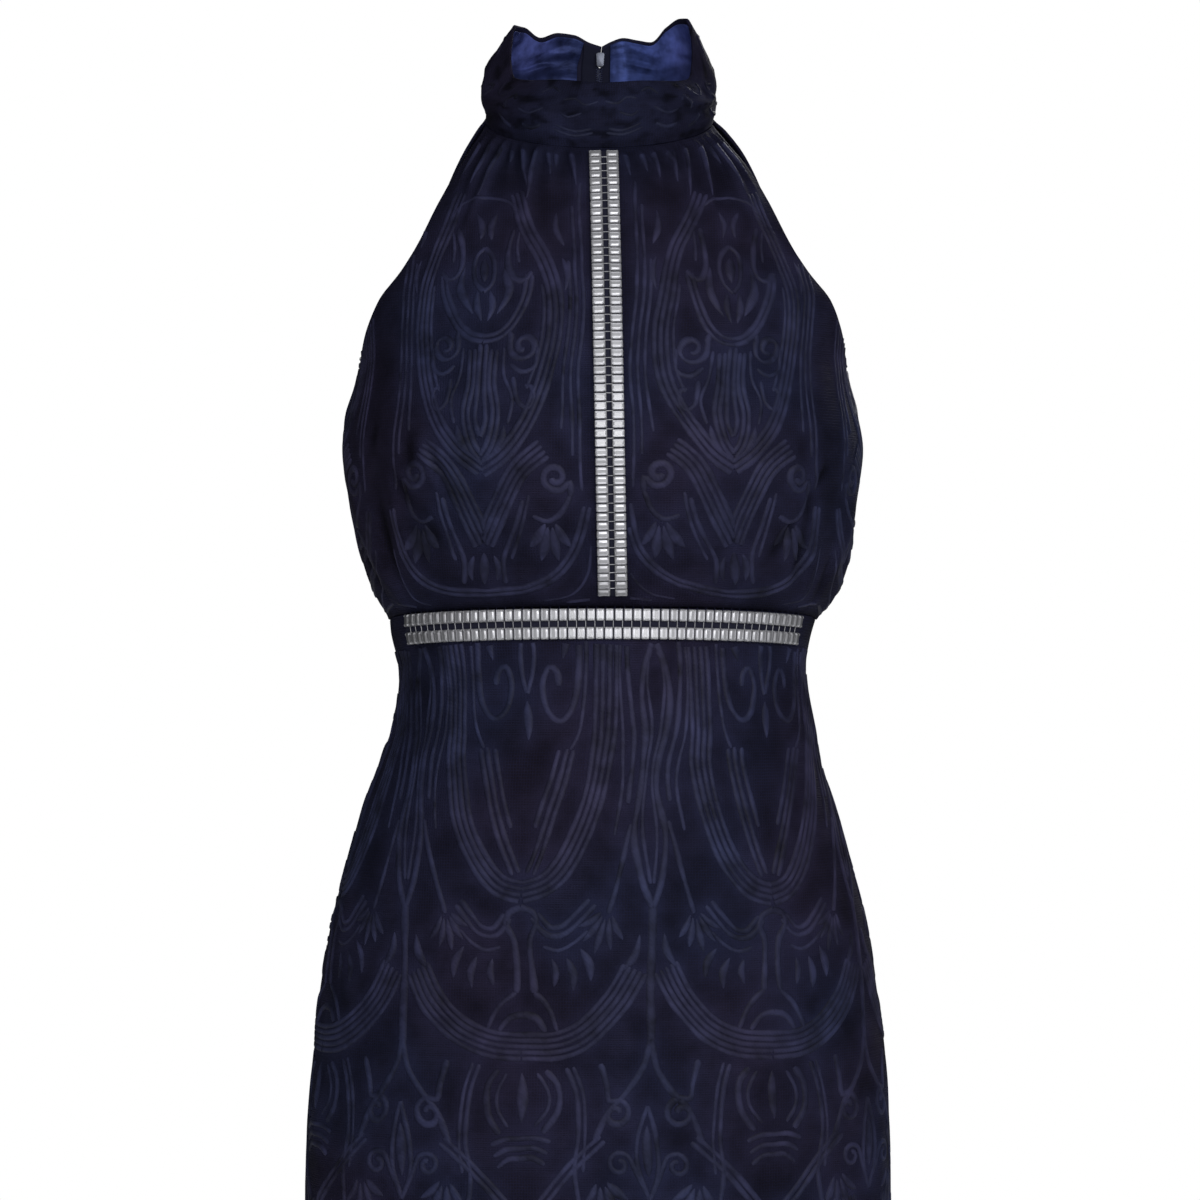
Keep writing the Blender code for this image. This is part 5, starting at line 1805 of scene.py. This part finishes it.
# ---------------------------------------------------------------------------------------------
# The zip. A concealed nylon coil zip in the centre back, from under the collar's rim to the hips:
# two woven tapes sewn inside the halves, their coils, a plated slider and its hanging pull.
# ---------------------------------------------------------------------------------------------
ZIP_TAPE = 0.8 * MM
ZIP_TAPE_INNER = 0.9 * MM
ZIP_TAPE_OUTER = 11.0 * MM
ZIP_TAPE_TOP = 0.93
ZIP_TAPE_LENGTH = 0.595
ZIP_BODICE_DROP = 0.4  # where the tapes pass from the band to the bodice
ZIP_END_DROP = 50.5
SLIDER_UP = 0.74
COIL_PITCH = 1.3 * MM
COIL_SIZE = Vector((2.5, 0.65, 0.75)) * MM
COIL_EDGE = 0.2 * MM
COIL_TOP, COIL_FOOT = 2 * MM, 3 * MM  # how far the coils stop from the tapes' ends
COIL_MESHED, COIL_APART = 0.45 * MM, 1.5 * MM  # how far from the middle, below and above the slider


def zip_levels(collar_rows, bodice_rows, skirt_rows):
    """The zip's rows of points from its top to its end, each on one of the three parts."""
    levels = [("collar", ZIP_TAPE_TOP * (1 - row / collar_rows)) for row in range(collar_rows + 1)]
    bodice_part = WAIST - ZIP_BODICE_DROP
    for row in range(bodice_rows + 1):
        levels.append(("bodice", ZIP_BODICE_DROP + bodice_part * row / bodice_rows))
    skirt_step = (ZIP_END_DROP - WAIST) / skirt_rows
    levels += [("skirt", WAIST + skirt_step * (row + 1)) for row in range(skirt_rows)]
    return levels


def zip_point(part, level, sign, reach, height):
    """A point inside the centre back, a reach in metres from it, under the lining and a gap."""
    height -= CLOTH + LAYER_GAP
    if part == "collar":
        half_width = smooth_row(COLLAR, level).half_width * CM
        return on_collar(sign * (180 - math.degrees(math.asin(reach / half_width))), level, height)
    panel = bodice_back_panel if part == "bodice" else skirt_back_panel
    across = sign * reach / CM / half_girth(panel.table, level)
    return on_cloth(panel, round(across, 6), round(level, 3), height)


def make_zip_tape(side, sign, levels):
    def share_out(u):
        return 1 - u if sign > 0 else u

    def place(u, v, height):
        part, level = levels[round((1 - v) * (len(levels) - 1))]
        reach = ZIP_TAPE_INNER + (ZIP_TAPE_OUTER - ZIP_TAPE_INNER) * share_out(u)
        return zip_point(part, level, sign, reach, height)

    def flat(u, v):
        return sign * share_out(u) * ZIP_TAPE_OUTER, v * ZIP_TAPE_LENGTH

    name = f"zip_tape_{side}"
    tape = cloth_wall(f"{name}_woven", 5, len(levels) - 1, place, flat, ZIP_TAPE, zip_tape)
    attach(tape, "dress")
    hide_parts(name)


def make_zip_coil(levels):
    """Both coils: small bars that mesh below the slider and stand apart above it."""
    centres = [zip_point(part, level, 1, 0.2 * MM, -ZIP_TAPE) for part, level in levels]
    lengths = running_lengths(centres)
    slider_row = next(row for row, (part, level) in enumerate(levels) if level < SLIDER_UP)
    places = []
    for sign in (1, -1):
        row = 1
        wanted = COIL_TOP + (COIL_PITCH / 2 if sign > 0 else 0.0)
        while wanted < lengths[-1] - COIL_FOOT:
            while lengths[row] < wanted:
                row += 1
            part, level = levels[row]
            share = (wanted - lengths[row - 1]) / (lengths[row] - lengths[row - 1])
            if levels[row - 1][0] == part:
                level = levels[row - 1][1] + (level - levels[row - 1][1]) * share
            reach = COIL_MESHED if row > slider_row else COIL_APART
            middle = zip_point(part, level, sign, reach, -ZIP_TAPE)
            across = zip_point(part, level, sign, reach + 1 * MM, -ZIP_TAPE) - middle
            places.append(hard_frame(middle, centres[row] - centres[row - 1], across))
            wanted += COIL_PITCH
    bar = block(COIL_SIZE)
    coil = repeated("zip_coil", bevelled(bar, bar.edges[:], COIL_EDGE), places, coil_nylon)
    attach(coil, "dress")


def rounded_outline(half_width, half_height, corner, steps=4, taper=0.0):
    """The points of a rounded rectangle about its middle, narrower at its top by the taper."""
    points = []
    for x, y, start in ((1, 1, 0), (-1, 1, 90), (-1, -1, 180), (1, -1, 270)):
        for step in range(steps + 1):
            angle = math.radians(start + 90 * step / steps)
            place_x = x * (half_width - corner) + corner * math.cos(angle)
            place_y = y * (half_height - corner) + corner * math.sin(angle)
            points.append((place_x * (1 - taper * (1 + place_y / half_height) / 2), place_y))
    return points


def plate(place, outer, thickness, hole=None):
    """A flat plate on place(a, b, c), c its thickness, with a hole of as many points if given."""
    shape = bmesh.new()
    loops = []
    for outline in filter(None, (outer, hole)):
        for side in (-thickness / 2, thickness / 2):
            loops.append([shape.verts.new(place(a, b, side)) for a, b in outline])
    count = len(outer)
    if hole is None:
        low, high = loops
        shape.faces.new(low)
        shape.faces.new(high)
        rings = [(low, high)]
    else:
        low, high, hole_low, hole_high = loops
        rings = [(low, high), (high, hole_high), (hole_high, hole_low), (hole_low, low)]
    for near, far in rings:
        for index in range(count):
            following = (index + 1) % count
            shape.faces.new((near[index], near[following], far[following], far[index]))
    bmesh.ops.recalc_face_normals(shape, faces=shape.faces)
    return shape


def sharp_edges(shape):
    return [edge for edge in shape.edges if edge.calc_face_angle(0.0) > math.radians(50)]


SLIDER_THICK = 2.2 * MM
SLIDER_HALF_SIZE = (2.2 * MM, 4.5 * MM)
SLIDER_CORNER = 1.3 * MM
SLIDER_TAPER = -0.22  # below 0 it is narrower at its foot
SLIDER_EDGE = 0.45 * MM
SLIDER_OFF_TAPE = 0.9 * MM
BRIDGE_REACH = 4.6 * MM  # how far the bridge stands out of the band, and its half height
BRIDGE_HALF_HEIGHT = 2.6 * MM
BRIDGE_CORNER = 1.6 * MM
BRIDGE_THICK = 0.8 * MM
BRIDGE_EDGE = 0.18 * MM
BRIDGE_EYE = (1.5 * MM, 3.7 * MM)  # how far off the band its eye for the pull starts and ends
BRIDGE_EYE_HALF_HEIGHT = 1.7 * MM
BRIDGE_EYE_CORNER = 0.9 * MM
PULL_AXIS_REACH = 2.9 * MM


def make_zip_slider():
    """The body lies inside the tapes. Its bridge passes the slit and holds the pull's bar."""
    middle = collar_point(180, SLIDER_UP)
    middle.x = smooth_row(COLLAR, SLIDER_UP).lean * CM
    inner_side = middle.y - CLOTH - LAYER_GAP - ZIP_TAPE - SLIDER_OFF_TAPE
    body_y = inner_side - SLIDER_THICK / 2
    body = plate(
        lambda a, b, c: Vector((middle.x + a, body_y + c, middle.z + b)),
        rounded_outline(*SLIDER_HALF_SIZE, SLIDER_CORNER, taper=SLIDER_TAPER), SLIDER_THICK,
    )
    bevelled(body, sharp_edges(body), SLIDER_EDGE, 2)
    bridge_outer = middle.y + BRIDGE_REACH
    bridge_middle = (body_y + bridge_outer) / 2
    eye_inner, eye_outer = (middle.y + reach for reach in BRIDGE_EYE)
    eye_middle = (eye_inner + eye_outer) / 2
    outer = rounded_outline((bridge_outer - body_y) / 2, BRIDGE_HALF_HEIGHT, BRIDGE_CORNER)
    eye = rounded_outline((eye_outer - eye_inner) / 2, BRIDGE_EYE_HALF_HEIGHT, BRIDGE_EYE_CORNER)
    eye = [(a + eye_middle - bridge_middle, b) for a, b in eye]
    bridge = plate(
        lambda a, b, c: Vector((middle.x + c, bridge_middle + a, middle.z + b)),
        outer, BRIDGE_THICK, eye,
    )
    bevelled(bridge, sharp_edges(bridge), BRIDGE_EDGE, 2)
    bridge_mesh = bpy.data.meshes.new("bridge")
    bridge.to_mesh(bridge_mesh)
    bridge.free()
    body.from_mesh(bridge_mesh)
    bpy.data.meshes.remove(bridge_mesh)
    slider = finished("zip_slider_plated", body, zip_metal, 40)
    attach(slider, "dress")
    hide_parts("zip_slider")
    return Vector((middle.x, middle.y + PULL_AXIS_REACH, middle.z))


PULL_LENGTH, PULL_WIDTH, PULL_THICK = 15.0 * MM, 4.6 * MM, 0.9 * MM
PULL_CORNER = 1.4 * MM
PULL_TAPER = 0.18
PULL_EDGE = 0.2 * MM
PULL_BAR = 0.9 * MM  # the bar over its eye, which turns in the bridge
PULL_EYE_HALF_SIZE = (1.1 * MM, 1.85 * MM)
PULL_EYE_CORNER = 0.6 * MM


def make_zip_pull(axis):
    """A flat tab that is wider at its foot, with an eye under the bar that turns in the bridge."""
    centre = axis + Vector((0, 0, PULL_BAR / 2 - PULL_LENGTH / 2))
    outer = rounded_outline(PULL_WIDTH / 2, PULL_LENGTH / 2, PULL_CORNER, taper=PULL_TAPER)
    eye_z = PULL_LENGTH / 2 - PULL_BAR - PULL_EYE_HALF_SIZE[1]
    eye = [(a, b + eye_z) for a, b in rounded_outline(*PULL_EYE_HALF_SIZE, PULL_EYE_CORNER)]
    tab = plate(lambda a, b, c: centre + Vector((a, c, b)), outer, PULL_THICK, eye)
    bevelled(tab, sharp_edges(tab), PULL_EDGE, 2)
    pull = finished("zip_pull_plated", tab, zip_metal, 40)
    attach(pull, "pull_tab")
    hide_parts("zip_pull")


zip_tape = make_tape_material("navy zip tape", (0.0062, 0.0068, 0.0170))
zip_metal = new_material("plated zip metal", (0.095, 0.102, 0.13), 0.42, Metallic=0.85)
coil_nylon = new_material("navy coil", (0.014, 0.017, 0.045), 0.45, Specular_IOR_Level=0.15)
zip_rows = zip_levels(14, 100, 66)
for side, sign in HALVES:
    make_zip_tape(side, sign, zip_rows)
make_zip_coil(zip_rows)
make_zip_pull(make_zip_slider())

# ---------------------------------------------------------------------------------------------
# The room: a pale floor at standing height under the dress, soft boxes before it, at both sides and
# behind it, white all round, and a camera on its front, level with its waist.
# ---------------------------------------------------------------------------------------------
FLOOR_BELOW_HEM = 0.48
FLOOR_RADIUS = 4.5


def make_floor():
    ground = bmesh.new()
    bmesh.ops.create_circle(ground, cap_ends=True, segments=96, radius=FLOOR_RADIUS)
    for corner in ground.verts:
        corner.co.z = -HEM * CM - FLOOR_BELOW_HEM
    floor = finished("floor", ground, new_material("pale floor", (0.80, 0.80, 0.80), 0.7))


LIGHTS_AIM = Vector((0.0, 0.0, -0.30))


def add_softbox(name, place, width, height, power):
    lamp = bpy.data.lights.new(name, "AREA")
    lamp.shape = "RECTANGLE"
    lamp.size = width
    lamp.size_y = height
    lamp.energy = power
    holder = bpy.data.objects.new(name, lamp)
    holder.location = place
    holder.rotation_euler = (LIGHTS_AIM - Vector(place)).to_track_quat("-Z", "Y").to_euler()
    bpy.context.scene.collection.objects.link(holder)


WHITE = (1.0, 1.0, 1.0)
EVEN_LIGHT = (0.095, 0.10, 0.11)


def make_world():
    """White behind the dress, and a dimmer even light from all round on it."""
    world = bpy.data.worlds.new("studio")
    world.use_nodes = True
    tree = world.node_tree
    path = add_node(tree, "ShaderNodeLightPath")
    seen = add_mix(tree, A=opaque(EVEN_LIGHT), B=opaque(WHITE))
    join(
        tree, (path, "Is Camera Ray", seen, "Factor"),
        (seen, "Result", tree.nodes["Background"], "Color"),
    )
    bpy.context.scene.world = world


make_floor()
make_world()
add_softbox("front light", (0.35, -3.6, 0.75), 2.2, 2.4, 86)
add_softbox("side light", (1.7, -2.2, 0.9), 0.7, 0.8, 24)
add_softbox("low side light", (-1.8, -2.2, 0.2), 0.8, 1.0, 8)
add_softbox("back light", (0.6, 2.4, 1.0), 1.6, 1.2, 64)
bpy.context.scene.view_settings.view_transform = "Standard"

CAMERA_DISTANCE = 3.2
CAMERA_X = 0.0006
CAMERA_Z = -0.2908
FRAME_HEIGHT = 0.7284
SENSOR = 36.0
lens = bpy.data.cameras.new("camera")
lens.sensor_width = SENSOR
lens.lens = SENSOR * CAMERA_DISTANCE / FRAME_HEIGHT
camera = bpy.data.objects.new("camera", lens)
camera.location = (CAMERA_X, -CAMERA_DISTANCE, CAMERA_Z)
camera.rotation_euler = (math.radians(90), 0.0, 0.0)
bpy.context.scene.collection.objects.link(camera)
bpy.context.scene.camera = camera
